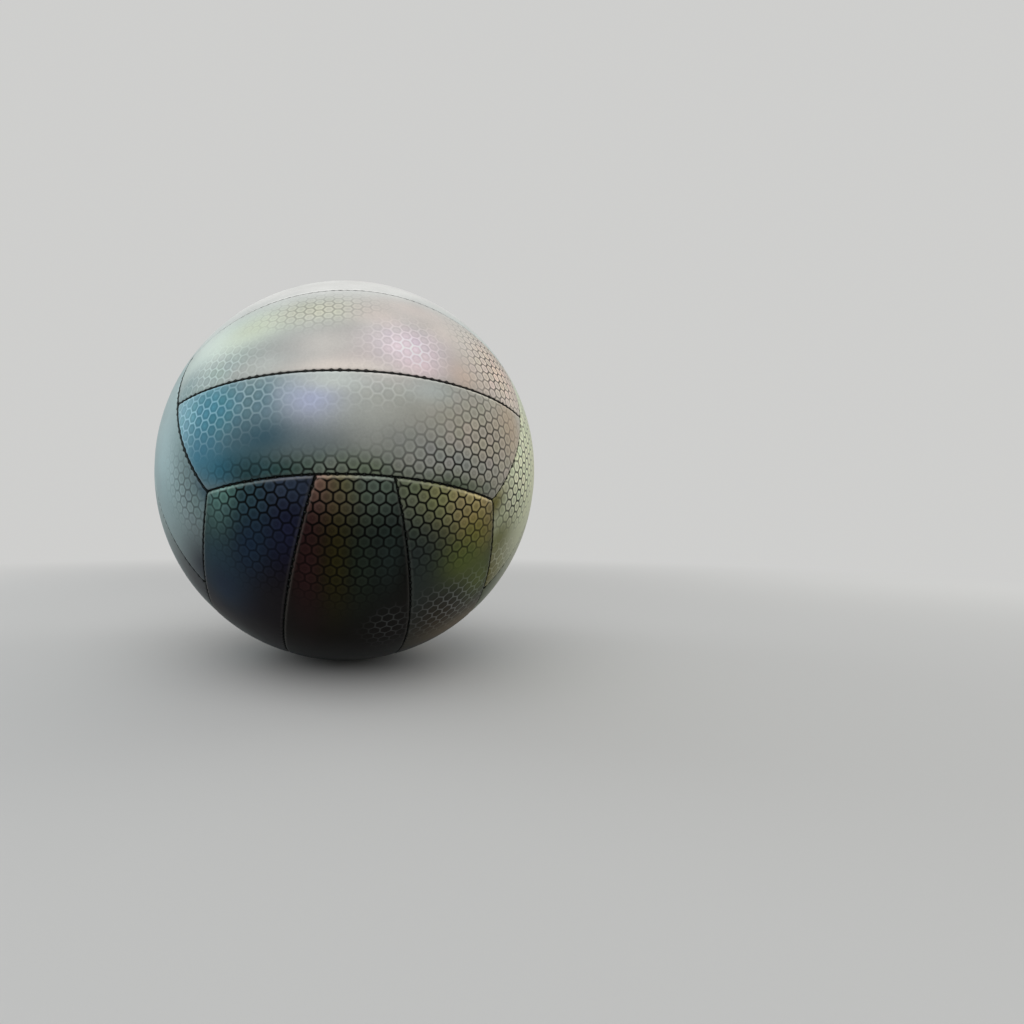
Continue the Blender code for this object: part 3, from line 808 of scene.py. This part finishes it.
# How much narrower a seam's dark line is on a strip: at its low side, its high side, its low and its high end
TIGHT_SEAMS = {
    "front_middle": (0, 0, 0, 0.3 * MM),
    "front_lower": (0, 0, 0, 0.25 * MM),
    "right_front": (0.25 * MM, 0, 0, 0),
    "left_front": (-0.15 * MM, 0, 0, 0),
    "bottom_middle": (0, 0.12 * MM, 0, 0),
    "bottom_right": (0.12 * MM, 0, 0, 0),
}

# How pale the band is along a strip's low side, its high side and its ends: partly stretched film and partly
# a painted highlight where the rounding catches the light
EDGE_STRETCH_AND_HIGHLIGHT = (0.2, 0.2, 0.2)
SHOWN_EDGE_STRETCH_AND_HIGHLIGHT = {
    "front_upper": (0.0, 0.2, 0.2),
    "front_middle": (0.25, 0.1, 0.2),
    "front_lower": (0.12, 0.5, 0.3),
    "bottom_left": (0.5, 0.15, 0.8),
    "bottom_middle": (0.3, 0.15, 0.9),
    "bottom_right": (0.15, 0.15, 0.8),
}

# The valve's hole in its strip, in metres and in fine cells from its middle
VALVE_HOLE_RADIUS = 5.6 * MM
VALVE_HOLE_CELLS = 8
VALVE_BLEND_CELLS = 18
VALVE_RING_STEP = 0.7 * MM  # between the rings round it, far from its lip
VALVE_RING_CROWDING = 3  # how many rings out the crowding at its lip is felt
VALVE_ROUND_WIDTH = 1.3 * MM
VALVE_ROUND_DEPTH = 0.9 * MM
LEAST_DISTANCE = 1e-9  # stands in for 0 at the grid's middle point


def strip_directions(sides):
    """A fine grid of unit points over a strip, as (out, along, across), rows across and columns along.

    Rows are flat cuts: at each edge step from both seams, and evenly blended between. Along a row the columns
    lie at each edge step from both ends, and at even turns of the row's circle between.
    """
    insets = SEAM_GAP / 2 + EDGE_STEPS
    low_offsets, low_slope = moved(sides[0], insets)
    high_offsets, high_slope = moved(sides[1], -insets)
    share = np.linspace(0, 1, CELLS_ACROSS + 1)[1:-1]
    inner_offsets = low_offsets[-1] + (high_offsets[-1] - low_offsets[-1]) * share
    inner_slopes = low_slope + (high_slope - low_slope) * share
    offset = np.concatenate([low_offsets, inner_offsets, high_offsets[::-1]])[:, None]
    edge = np.ones(len(insets))
    slope = np.concatenate([edge * low_slope, inner_slopes, edge * high_slope])[:, None]
    ends = end_of_line((offset, slope), moved(FACE_SIDE, insets))
    turn = turn_radius((offset, slope))
    last_turn = np.arcsin(ends[:, -1:] / turn)
    even = turn * np.sin(last_turn * np.linspace(-1, 1, CELLS_ALONG + 1))
    along = np.concatenate([-ends[:, :-1], even, ends[:, -2::-1]], axis=1)
    a = 1 + slope ** 2
    b = offset * slope
    out = (np.sqrt(b * b - a * (offset ** 2 + along ** 2 - 1)) - b) / a
    return np.stack([out, along, offset + slope * out], axis=-1)


def rings_round_valve(shape):
    """For each grid point, how many cells it lies from the grid's middle, counted in square rings."""
    row_steps = np.abs(np.arange(shape[0]) - shape[0] // 2)
    column_steps = np.abs(np.arange(shape[1]) - shape[1] // 2)
    return np.maximum(row_steps[:, None], column_steps[None, :])


def opened_for_valve(directions):
    """The grid with its square rings round the middle made circles, the innermost on the valve's hole.

    A ring's circle is wider than the hole by n * n / (n + crowding) steps, n rings out, which crowds the
    rings at the hole's rounded lip. The circles blend back into the square grid by a smooth step over the
    outer rings.
    """
    rings = rings_round_valve(directions.shape)
    apart = np.maximum(rings - VALVE_HOLE_CELLS, 0)
    radius = VALVE_HOLE_RADIUS + VALVE_RING_STEP * apart ** 2 / (apart + VALVE_RING_CROWDING)
    share = np.clip((VALVE_BLEND_CELLS - rings) / (VALVE_BLEND_CELLS - VALVE_HOLE_CELLS), 0, 1)
    share = (share * share * (3 - 2 * share))[..., None]
    flat = directions[..., 1:]
    distance = np.maximum(np.linalg.norm(flat, axis=-1, keepdims=True), LEAST_DISTANCE)
    round_place = flat / distance * (radius / BALL_RADIUS)[..., None]
    flat = np.where(rings[..., None] < VALVE_HOLE_CELLS, flat, flat + (round_place - flat) * share)
    out = np.sqrt(1 - (flat ** 2).sum(-1, keepdims=True))
    near = rings[..., None] < VALVE_BLEND_CELLS
    return np.where(near, np.concatenate([out, flat], axis=-1), directions)


def rounded_drop(edge_share, depth):
    """A quarter round: how far a surface drops, from none at share 0 to the depth, upright, at share 1."""
    return depth * (1 - np.sqrt(1 - np.clip(edge_share, 0, 1) ** 2))


def stitch_wave(place):
    """The stitches' pull at each stitch and 0 between: a cosine along the seam, squared to narrow it.

    The pull itself comes and goes as the product of two sines of different length.
    """
    first_wave, second_wave = PULL_WAVES
    pull = STITCH_PULL + PULL_SPREAD * np.sin(place / first_wave) * np.sin(place / second_wave + PULL_SHIFT)
    return pull * (0.5 + 0.5 * np.cos(2 * pi * place / STITCH_PITCH)) ** 2


def pucker(wave, edge):
    """The dent at each stitch, which dies away from the seam as a bell curve."""
    return PUCKER_DEPTH * wave * np.exp(-(edge / PUCKER_REACH) ** 2)


def stretch_and_highlight_band(edge):
    """The pale band along an edge's rounding, partly stretched film and partly a painted highlight: a bell
    curve over the distance from the strip's wall.
    """
    return np.exp(-((edge - PALE_BAND_PLACE) / PALE_BAND_REACH) ** 2)


def strip_surface(directions, strip, sides):
    """The radius of a strip's crown at each grid point, its distance to the seam's dark, and the edges' pale
    bands.

    The radius is the ball's, less a quarter round towards each seam, a shallow swell that ends there, and a
    dent at each stitch. The distance is that from the strip's nearest wall, shorter at a stitch's dark end
    and longer along a tight seam. The pale bands, partly stretched film and partly a painted highlight, are
    those of the low side, the high side and the ends.
    """
    out, along, across = np.moveaxis(directions, -1, 0)
    half_gap = SEAM_GAP / 2
    low = distance_from(sides[0], out, across) - half_gap
    high = -distance_from(sides[1], out, across) - half_gap
    end = distance_from(FACE_SIDE, np.abs(along), out) - half_gap
    side = np.minimum(low, high)
    over_side = np.clip(1 - side / EDGE_ROUND_WIDTH, 0, 1)
    over_end = np.clip(1 - end / EDGE_ROUND_WIDTH, 0, 1)
    drop = rounded_drop(np.hypot(over_side, over_end), EDGE_ROUND_DEPTH)
    drop += PILLOW_DEPTH * (np.exp(-side / PILLOW_REACH) + np.exp(-end / PILLOW_REACH)) / 2
    low_wave = stitch_wave(place_along(sides[0], along))
    high_wave = stitch_wave(place_along(sides[1], along))
    end_wave = stitch_wave(place_along(FACE_SIDE, across))
    drop += pucker(low_wave, low) + pucker(high_wave, high) + pucker(end_wave, end)
    knob = KNOB_REACH * STITCH_SHOW.get(strip, 1)
    tight_low, tight_high, tight_start, tight_stop = TIGHT_SEAMS.get(strip, (0, 0, 0, 0))
    low_seam = low + tight_low - knob * (LOW_SIDE_LINE + LOW_SIDE_ENDS * low_wave)
    high_seam = high + tight_high - HIGH_SIDE_ENDS * knob * high_wave
    end_seam = end + np.where(along < 0, tight_start, tight_stop) - END_SIDE_ENDS * knob * end_wave
    seam = np.minimum(np.minimum(low_seam, high_seam), end_seam)
    return BALL_RADIUS - drop, seam, np.stack([stretch_and_highlight_band(low), stretch_and_highlight_band(high), stretch_and_highlight_band(end)], axis=-1)


def strip_pattern(strip, index, directions):
    """Arc lengths along and across a strip from its middle, and the honeycomb's coordinates in pitches.

    Across is the arc from the great circle through the strip's middle line, and along is the arc over that
    circle.
    """
    lean = (index - 1) * OUTER_STRIP_ANGLE
    out, along, across = np.moveaxis(directions, -1, 0)
    length = BALL_RADIUS * np.arctan2(along, out * cos(lean) + across * sin(lean))
    width = BALL_RADIUS * np.arcsin(across * cos(lean) - out * sin(lean))
    pitch, *shift = np.array(HONEYCOMB.get(strip, (HONEYCOMB_PITCH, 0, 0))) * MM
    return length, width, (np.stack([length, width], axis=-1) - shift) / pitch


def coarse_places(numbers, inset):
    """The fine grid's numbers at the underside's coarse grid, its border moved in by some fine steps."""
    kept = [np.clip(np.arange(0, size, UNDERSIDE_STEP), inset, size - 1 - inset) for size in numbers.shape]
    return numbers[np.ix_(*kept)]


def block(shape, reach, extra=0):
    """The slices of a grid's middle block of cells, or with extra 1 of its points."""
    return tuple(slice(size // 2 - reach, size // 2 + reach + extra) for size in shape)


def outside_block(shape, reach):
    """Which cells of a grid of points lie outside its middle block."""
    mask = np.ones((shape[0] - 1, shape[1] - 1), bool)
    mask[block(shape, reach)] = False
    return mask


def valve_opening(crown, floor, coarse_hole, first):
    """The places of the lower rim of the valve's hole, numbered from first, and the hole's faces.

    An upright face joins each edge of the crown's hole to the rim below it, and a level one joins each coarse
    edge of the floor's square opening to the rim's fine edges beside it.
    """
    hole_rim = border(crown[block(crown.shape, VALVE_HOLE_CELLS, 1)])
    low_rim = first + np.arange(hole_rim.size)
    opening = border(floor[block(floor.shape, coarse_hole, 1)])
    per_edge = hole_rim.size // opening.size
    fine = np.arange(0, hole_rim.size, per_edge)[:, None] + np.arange(per_edge + 1)
    upright = np.stack([hole_rim, np.roll(hole_rim, -1), np.roll(low_rim, -1), low_rim], axis=-1)
    level = np.column_stack([low_rim[fine % hole_rim.size], np.roll(opening, -1), opening])
    return hole_rim, [upright, level]


def strip_shell(radius, has_valve):
    """A strip's points, as places in its fine grid with a radius each, and its faces, the crown's first.

    The crown is the fine grid itself. Its wall drops to a coarse foot, and each of the wall's faces joins one
    coarse edge to the row of fine edges above it. The foot turns in to a lip, which rises to the coarse
    floor. The valve's strip has a hole through crown and floor.
    """
    crown = np.arange(radius.size).reshape(radius.shape)
    foot_places = border(coarse_places(crown, FOOT_STEP))
    floor_places = coarse_places(crown, FLANGE_STEP)
    lip_places = border(floor_places)
    places = [crown.ravel(), foot_places, lip_places, floor_places.ravel()]
    radii = [radius.ravel()]
    for group, level in zip(places[1:], (FOOT_RADIUS, FOOT_RADIUS, TRAY_RADIUS)):
        radii.append(np.full(group.size, level))
    starts = np.cumsum([0] + [group.size for group in places])
    foot = starts[1] + np.arange(foot_places.size)
    lip = starts[2] + np.arange(lip_places.size)
    floor = starts[3] + np.arange(floor_places.size).reshape(floor_places.shape)
    rim = border(crown)
    steps = np.arange(0, rim.size, UNDERSIDE_STEP)[:, None] + np.arange(UNDERSIDE_STEP, -1, -1)
    wall = np.column_stack([rim[steps % rim.size], foot, np.roll(foot, -1)])
    hole = VALVE_HOLE_CELLS if has_valve else 0
    coarse_hole = 2 * hole // UNDERSIDE_STEP
    crown_cells = cells(crown)[outside_block(crown.shape, hole)]
    floor_cells = cells(floor)[..., ::-1][outside_block(floor.shape, coarse_hole)]
    faces = [crown_cells, wall, ring(foot, lip), ring(lip, border(floor)), floor_cells]
    if has_valve:
        rim_places, rim_faces = valve_opening(crown, floor, coarse_hole, starts[4])
        places.append(rim_places)
        radii.append(np.full(rim_places.size, TRAY_RADIUS))
        faces += rim_faces
    return np.concatenate(places), np.concatenate(radii), faces


def cover_strip(face, index):
    """One cover strip: its shell, turned to its face, with the film's values at each point."""
    strip = f"{face}_{FACES[face][3][index]}"
    sides = STRIP_SIDES[index]
    directions = strip_directions(sides)
    radius, seam, bands = strip_surface(directions, strip, sides)
    has_valve = strip == VALVE_STRIP
    if has_valve:
        directions = opened_for_valve(directions)
        lip = np.linalg.norm(directions[..., 1:], axis=-1) * BALL_RADIUS - VALVE_HOLE_RADIUS
        radius = radius - rounded_drop(1 - lip / VALVE_ROUND_WIDTH, VALVE_ROUND_DEPTH)
        # Where the film turns down into the valve's hole it takes the seams' painted shade.
        seam = np.minimum(seam, np.maximum(lip, 0))
    length, width, pattern = strip_pattern(strip, index, directions)
    height = in_scene(directions, face)[..., 2]
    tint, tone = film_fields(strip, length, width, height)
    # The pale edge bands: partly stretched film and partly a painted highlight
    stretch_and_highlight = (bands * SHOWN_EDGE_STRETCH_AND_HIGHLIGHT.get(strip, EDGE_STRETCH_AND_HIGHLIGHT)).max(-1)

    place, radii, faces = strip_shell(radius, has_valve)
    out_way, along_way, across_way = np.array(FACES[face][:3], float)
    if np.cross(along_way, across_way) @ out_way < 0:
        faces = [group[:, ::-1] for group in faces]
    points = in_scene(directions.reshape(-1, 3)[place] * radii[:, None], face)
    on_crown = np.arange(place.size) < seam.size
    values = {
        "film_tint": tint.reshape(-1, 3)[place],
        "line_tone": tone.ravel()[place],
        # Off the crown the film takes the seams' full near-black: painted shade on the walls inside the
        # grooves, and the dark of the hidden underside.
        "seam_distance": np.where(on_crown, seam.ravel()[place], 0),
        "edge_stretch_and_highlight": stretch_and_highlight.ravel()[place],
    }
    smooth = [True] + [False] * (len(faces) - 1)
    made = piece(f"film_{strip}", points, faces, PEARL_FILM, pattern.reshape(-1, 2)[place], values, smooth)
    stands_for(made, f"panel_{strip}")


for face_name in FACES:
    for strip_index in range(3):
        cover_strip(face_name, strip_index)


# Sewing thread

THREAD_RADIUS = 0.24 * MM
THREAD_DEPTH = 1.75 * MM  # from the ball's surface to the running thread's middle
STITCH_RADIUS = 0.22 * MM
STITCH_REACH = 0.8 * MM  # each way from the seam
STITCH_DEPTH = 0.72 * MM
STITCH_DIP = 0.35 * MM  # how much deeper a stitch ends than its middle
STITCH_RINGS = 7
STITCH_BLUNTNESS = 0.05  # keeps a stitch's ends from closing to a point
THREAD_LIFT = 0.08 * MM  # how far the running thread rises at a stitch, and sinks between two
THREAD_SIDES = 6
POINTS_PER_STITCH = 4


def seam_places(face, line, turns):
    """Points of a seam's circle, by turn from its middle: outward, along-the-seam and sideways directions.

    The circle lies round the cut's own axis. A point is the axis point plus the circle's radius times the
    cosine of the turn one way and its sine the other.
    """
    offset, slope = line
    steep = np.hypot(1, slope)
    axis = np.array([-slope, 0, 1]) / steep
    level = np.array([1, 0, slope]) / steep
    forward = np.array([0, 1, 0])
    wide = turn_radius(line)
    cosine = np.cos(turns)[:, None]
    sine = np.sin(turns)[:, None]
    outward = in_scene(axis * offset / steep + wide * (cosine * level + sine * forward), face)
    tangent = in_scene(cosine * forward - sine * level, face)
    return outward, tangent, np.cross(outward, tangent)


def tube_faces(rings, sides, first):
    """Faces of a tube of point rings with a flat cap at each end."""
    numbers = first + np.arange(rings * sides).reshape(rings, sides)
    wrapped = np.column_stack([numbers, numbers[:, 0]])
    return [cells(wrapped).reshape(-1, 4), numbers[:1, ::-1], numbers[-1:]]


def running_thread(face, line, last_turn, first):
    """A thread along the bottom of a seam's groove: a circle carried along it, higher at each stitch."""
    length = BALL_RADIUS * turn_radius(line) * last_turn
    count = 2 * int(length / STITCH_PITCH * POINTS_PER_STITCH) + 1
    turns = np.linspace(-last_turn, last_turn, count)
    outward, _, sideways = seam_places(face, line, turns)
    place = BALL_RADIUS * turn_radius(line) * turns
    lift = THREAD_LIFT * np.cos(2 * pi * place / STITCH_PITCH)
    cosines, sines = circle(THREAD_SIDES).T
    round_way = cosines[:, None, None] * outward + sines[:, None, None] * sideways
    points = outward * (BALL_RADIUS - THREAD_DEPTH + lift)[:, None] + round_way * THREAD_RADIUS
    points = np.swapaxes(points, 0, 1).reshape(-1, 3)
    return points, tube_faces(count, THREAD_SIDES, first)


def cross_stitches(face, line, last_turn, first):
    """A short stitch over the seam at each stitch place: a small tube that arches and tapers to both ends."""
    wide = BALL_RADIUS * turn_radius(line)
    most = int((wide * last_turn - STITCH_REACH) / STITCH_PITCH)
    turns = np.arange(-most, most + 1) * STITCH_PITCH / wide
    outward, tangent, sideways = seam_places(face, line, turns)
    share = np.linspace(-1, 1, STITCH_RINGS)
    cosines, sines = circle(THREAD_SIDES).T
    thickness = STITCH_RADIUS * np.sqrt(1 + STITCH_BLUNTNESS - share ** 4)
    depth = BALL_RADIUS - STITCH_DEPTH - STITCH_DIP * share ** 4
    along_stitch = (STITCH_REACH * share)[None, :, None, None] * sideways[:, None, None]
    height = depth[:, None] + thickness[:, None] * cosines
    points = along_stitch + height[None, ..., None] * outward[:, None, None]
    points = points + (thickness[:, None] * sines)[None, ..., None] * tangent[:, None, None]
    one = tube_faces(len(share), THREAD_SIDES, 0)
    shift = first + np.arange(len(turns))[:, None, None] * len(share) * THREAD_SIDES
    faces = [(group[None] + shift).reshape(-1, group.shape[1]) for group in one]
    return points.reshape(-1, 3), faces


def sewn_seam(name, runs):
    """The thread of one or more seams: the running thread and its stitches."""
    end_gap = EDGE_ROUND_WIDTH / 2
    points, faces, count = [], [], 0
    for face, line in runs:
        end = end_of_line(line, moved(FACE_SIDE, end_gap))
        last_turn = asin(end / turn_radius(line))
        for part in (running_thread, cross_stitches):
            part_points, part_faces = part(face, line, last_turn, count)
            points.append(part_points)
            faces.extend(part_faces)
            count += len(part_points)
    made = piece(f"sewn_{name}", np.concatenate(points), faces, WAXED_THREAD)
    stands_for(made, f"thread_{name}")


for face_name, (_, _, _, strip_names) in FACES.items():
    sewn_seam(f"{face_name}_{strip_names[0]}", [(face_name, mirrored(STRIP_SIDE))])
    sewn_seam(f"{face_name}_{strip_names[2]}", [(face_name, STRIP_SIDE)])
for face_name in ("left", "right"):
    sewn_seam(f"{face_name}_front_edge", [(face_name, mirrored(FACE_SIDE))])
    sewn_seam(f"{face_name}_rear_edge", [(face_name, FACE_SIDE)])
for face_name, side_line in (("bottom", mirrored(FACE_SIDE)), ("top", FACE_SIDE)):
    sewn_seam(f"{face_name}_loop", [
        ("front", side_line), ("rear", side_line), (face_name, FACE_SIDE), (face_name, mirrored(FACE_SIDE))])


# Valve

RIM_HEIGHT = BALL_RADIUS - 0.8 * MM
STEM_RADIUS = 5.3 * MM
COUNTERBORE_RADIUS = 4.3 * MM
BORE_RADIUS = 3.2 * MM
TUBE_RADIUS = 4.4 * MM
FLANGE_RADIUS = 15.0 * MM
FLANGE_TOP_RADIUS = 99.73 * MM
FLANGE_LOW_RADIUS = 98.73 * MM
HEAD_SEAT_HEIGHT = RIM_HEIGHT - 1.7 * MM
TUBE_END_HEIGHT = RIM_HEIGHT - 20 * MM
PLUG_RADIUS = 2.9 * MM
PLUG_HEAD_RADIUS = 4.0 * MM
PLUG_HEAD_THICKNESS = 1.4 * MM
PLUG_LENGTH = 22 * MM
NEEDLE_HOLE_RADIUS = 0.6 * MM
NEEDLE_HOLE_DEPTH = 16 * MM
PLUG_NOSE_TAPER = 1 * MM
GROOVE_RADII = (2.9 * MM, 2.7 * MM, 2.2 * MM, 2.0 * MM)  # the head's groove: rim, bottom, bottom and rim
GROOVE_DEPTH = 0.25 * MM
FUNNEL_RADIUS = 1.2 * MM
FUNNEL_DEPTH = 0.8 * MM
SEAT_EASING = 0.3 * MM  # how far the corners are cut back
PLUG_EASING = 0.35 * MM
FLANGE_POINTS = 7
TURNED_STEPS = 72
CORNER_STEPS = 4


def eased(profile, radius):
    """A profile of (radius, height) points with each corner between its ends cut to a short curve.

    The curve runs from a point before the corner to one after it, bent towards the corner as a parabola is.
    """
    points = np.array(profile)
    rounded = [points[:1]]
    share = np.linspace(0, 1, CORNER_STEPS + 1)[:, None]
    for before, corner, after in zip(points[:-2], points[1:-1], points[2:]):
        reach_in = min(radius, np.linalg.norm(corner - before) / 2)
        reach_out = min(radius, np.linalg.norm(after - corner) / 2)
        start = corner + (before - corner) / np.linalg.norm(before - corner) * reach_in
        stop = corner + (after - corner) / np.linalg.norm(after - corner) * reach_out
        rounded.append(start * (1 - share) ** 2 + 2 * corner * share * (1 - share) + stop * share ** 2)
    rounded.append(points[-1:])
    return np.concatenate(rounded)


def turned_piece(name, profile, material, closed):
    """A solid turned about the valve's axis: each profile point carried round a circle of its own radius.

    A closed profile makes a ring. Any other starts and ends on the axis, where its faces meet in a point.
    """
    if closed:
        profile = profile[:-1]
    count = len(profile)
    flat = profile[:, None, :1] * circle(TURNED_STEPS)
    heights = np.broadcast_to(profile[:, None, 1:], (count, TURNED_STEPS, 1))
    points = np.concatenate([flat, heights], axis=-1).reshape(-1, 3) @ LIE.T
    numbers = np.arange(count * TURNED_STEPS).reshape(count, TURNED_STEPS)
    numbers = np.column_stack([numbers, numbers[:, 0]])
    if closed:
        faces = [cells(np.concatenate([numbers, numbers[:1]])).reshape(-1, 4)]
    else:
        first, last = cells(numbers[:2])[0], cells(numbers[-2:])[0]
        poles = np.column_stack([np.full(TURNED_STEPS, numbers[0, 0]), first[:, 2:]])
        tops = np.column_stack([last[:, :2], np.full(TURNED_STEPS, numbers[-1, 0])])
        faces = [poles, cells(numbers[1:-1]).reshape(-1, 4), tops]
    return piece(name, points, faces, material)


def flange_arc(radius, start, stop):
    """Points (radius, height) of an arc round the ball's centre between two distances from the axis."""
    angles = np.linspace(asin(start / radius), asin(stop / radius), FLANGE_POINTS)
    return list(zip(radius * np.sin(angles), radius * np.cos(angles)))


def valve_seat():
    """The seat: down the bore, up the tube, round the flange, up the stem and over the rim to the bore."""
    start = (BORE_RADIUS, (TUBE_END_HEIGHT + HEAD_SEAT_HEIGHT) / 2)
    profile = [start, (BORE_RADIUS, TUBE_END_HEIGHT), (TUBE_RADIUS, TUBE_END_HEIGHT)]
    profile += flange_arc(FLANGE_LOW_RADIUS, TUBE_RADIUS, FLANGE_RADIUS)
    profile += flange_arc(FLANGE_TOP_RADIUS, FLANGE_RADIUS, STEM_RADIUS)
    profile += [(STEM_RADIUS, RIM_HEIGHT), (COUNTERBORE_RADIUS, RIM_HEIGHT)]
    profile += [(COUNTERBORE_RADIUS, HEAD_SEAT_HEIGHT), (BORE_RADIUS, HEAD_SEAT_HEIGHT), start]
    made = turned_piece("valve_seat_moulded", eased(profile, SEAT_EASING), SEAT_RUBBER, closed=True)
    stands_for(made, "valve_seat")


def valve_plug():
    """The plug: from its nose up to the head, over a groove, and down a funnel into the needle's hole."""
    nose = RIM_HEIGHT - PLUG_LENGTH
    under_head = RIM_HEIGHT - PLUG_HEAD_THICKNESS
    groove = RIM_HEIGHT - GROOVE_DEPTH
    hole_end = RIM_HEIGHT - NEEDLE_HOLE_DEPTH
    profile = [(0, nose), (PLUG_RADIUS - PLUG_NOSE_TAPER, nose), (PLUG_RADIUS, nose + PLUG_NOSE_TAPER)]
    profile += [(PLUG_RADIUS, under_head), (PLUG_HEAD_RADIUS, under_head), (PLUG_HEAD_RADIUS, RIM_HEIGHT)]
    profile += zip(GROOVE_RADII, (RIM_HEIGHT, groove, groove, RIM_HEIGHT))
    profile += [(FUNNEL_RADIUS, RIM_HEIGHT), (NEEDLE_HOLE_RADIUS, RIM_HEIGHT - FUNNEL_DEPTH)]
    profile += [(NEEDLE_HOLE_RADIUS, hole_end), (0, hole_end)]
    made = turned_piece("valve_plug_moulded", eased(profile, PLUG_EASING), PLUG_RUBBER, closed=False)
    stands_for(made, "valve_plug", "plug")


valve_seat()
valve_plug()


# Solids that stay: the linings and the bladder, which the cover hides

def refinished(node, material):
    """Gives a solid of the frame a finish of its own."""
    slots = frame["nodes"][node].data.materials
    slots.clear()
    slots.append(material)


for node_name in frame["nodes"]:
    if node_name.startswith("lining_"):
        refinished(node_name, BACKING_CLOTH)
refinished("bladder", BLADDER_RUBBER)


# Floor, light and camera

FLOOR_RADIUS = 6.0
FLOOR_FADE = (0.35, 1.1)  # where the floor starts to blend into the backdrop, and where it ends in it
FLOOR_SIDES = 64
FLOOR_RINGS = 12
FLOOR_START = 0.05  # the innermost ring's place among the rings, from 0 to 1
BACKDROP = (0.62, 0.62, 0.61, 1)
DIM_FLOOR = (0.36, 0.36, 0.35, 1)
FILL = (0.98, 0.99, 1.0, 1)
FILL_STRENGTH = 0.48


def bare_nodes(owner):
    """A Value to start from in the emptied nodes of a material or a world."""
    owner.use_nodes = True
    owner.node_tree.nodes.clear()
    return Value(owner.node_tree)


def seen_directly(start):
    """1 for the camera's own rays and those that gloss or clear pieces pass on, and 0 for other light."""
    ray = start.make("LightPath", output="Is Camera Ray")
    return ray.most(ray.other("Is Glossy Ray")).most(ray.other("Is Transmission Ray"))


def pale_floor():
    """A pale matt floor that fades into the backdrop for the camera, and dimmer where it lights the ball."""
    material = bpy.data.materials.new("pale_floor")
    start = bare_nodes(material)
    pale = start.make("BsdfDiffuse", {}, {"Color": BACKDROP})
    dim = start.make("BsdfDiffuse", {}, {"Color": DIM_FLOOR})
    far = start.make("Emission", {}, {"Color": BACKDROP})
    place = start.make("TexCoord", output="Object")
    distance = start.make("VectorMath", {"operation": "LENGTH"}, {0: place}, output="Value")
    shown = start.make("MixShader", {}, {0: distance.rise(*FLOOR_FADE), 1: pale, 2: far})
    floor = start.make("MixShader", {}, {0: seen_directly(start), 1: dim, 2: shown})
    start.make("OutputMaterial", {}, {"Surface": floor}, output=None)
    return material


def round_floor():
    """The floor as a round disc: rings of points that widen as squares, so the middle is finest."""
    radii = FLOOR_RADIUS * np.linspace(FLOOR_START, 1, FLOOR_RINGS) ** 2
    flat = radii[:, None, None] * circle(FLOOR_SIDES)
    low = np.full((*flat.shape[:2], 1), -BALL_RADIUS)
    numbers = np.arange(flat[..., 0].size).reshape(flat.shape[:2])
    numbers = np.column_stack([numbers, numbers[:, 0]])
    points = np.concatenate([flat, low], axis=-1).reshape(-1, 3)
    faces = [cells(numbers)[..., ::-1].reshape(-1, 4), numbers[:1, :-1]]
    floor = piece("floor", points, faces, pale_floor())


def lamp(name, place, width, depth, power, colour=(1, 1, 1)):
    """A soft rectangular lamp aimed at the ball."""
    light = bpy.data.lights.new(name, "AREA")
    light.shape = "RECTANGLE"
    light.size = width
    light.size_y = depth
    light.energy = power
    light.color = colour
    made = bpy.data.objects.new(name, light)
    made.location = place
    made.rotation_euler = (-Vector(place)).to_track_quat("-Z", "Y").to_euler()
    bpy.context.scene.collection.objects.link(made)


def backdrop():
    """The world: a pale backdrop for the camera and a soft dim fill for everything else."""
    world = bpy.data.worlds.new("studio")
    bpy.context.scene.world = world
    start = bare_nodes(world)
    pale = start.make("Background", {}, {"Color": BACKDROP})
    fill = start.make("Background", {}, {"Color": FILL, "Strength": FILL_STRENGTH})
    shown = start.make("MixShader", {}, {0: seen_directly(start), 1: fill, 2: pale})
    start.make("OutputWorld", {}, {"Surface": shown}, output=None)


# The camera: its distance from the ball's middle, its elevation seen from there, the photograph's width, and
# in its pixels the lens's length and the place of the ball's middle
CAMERA_DISTANCE = 2.79 * BALL_RADIUS
CAMERA_ELEVATION = radians(-6.86)
IMAGE_PIXELS = 1024
LENS_PIXELS = 494.9
BALL_PIXEL = (344.24, 470.45)
SENSOR_WIDTH = 36.0
CLIP_START = 10 * MM


def camera():
    """A camera low in front of the ball, its lens and shift set from the photograph's framing."""
    data = bpy.data.cameras.new("photo_view")
    data.sensor_width = SENSOR_WIDTH
    data.lens = LENS_PIXELS / IMAGE_PIXELS * SENSOR_WIDTH
    data.shift_x = 0.5 - BALL_PIXEL[0] / IMAGE_PIXELS
    data.shift_y = BALL_PIXEL[1] / IMAGE_PIXELS - 0.5
    data.clip_start = CLIP_START
    made = bpy.data.objects.new("photo_view", data)
    made.location = Vector((0, -cos(CAMERA_ELEVATION), sin(CAMERA_ELEVATION))) * CAMERA_DISTANCE
    made.rotation_euler = (-made.location).to_track_quat("-Z", "Y").to_euler()
    bpy.context.scene.collection.objects.link(made)
    bpy.context.scene.camera = made


round_floor()
lamp("key", (-0.15, -0.80, 0.95), width=1.5, depth=1.5, power=8.0)
lamp("left_rim", (-0.85, 0.30, 0.40), width=0.4, depth=0.9, power=1.6, colour=(0.94, 0.98, 1.0))
lamp("right_rim", (0.85, 0.30, 0.40), width=0.4, depth=0.9, power=1.6, colour=(1.0, 0.99, 0.94))
backdrop()
camera()
bpy.context.scene.view_settings.view_transform = "Standard"
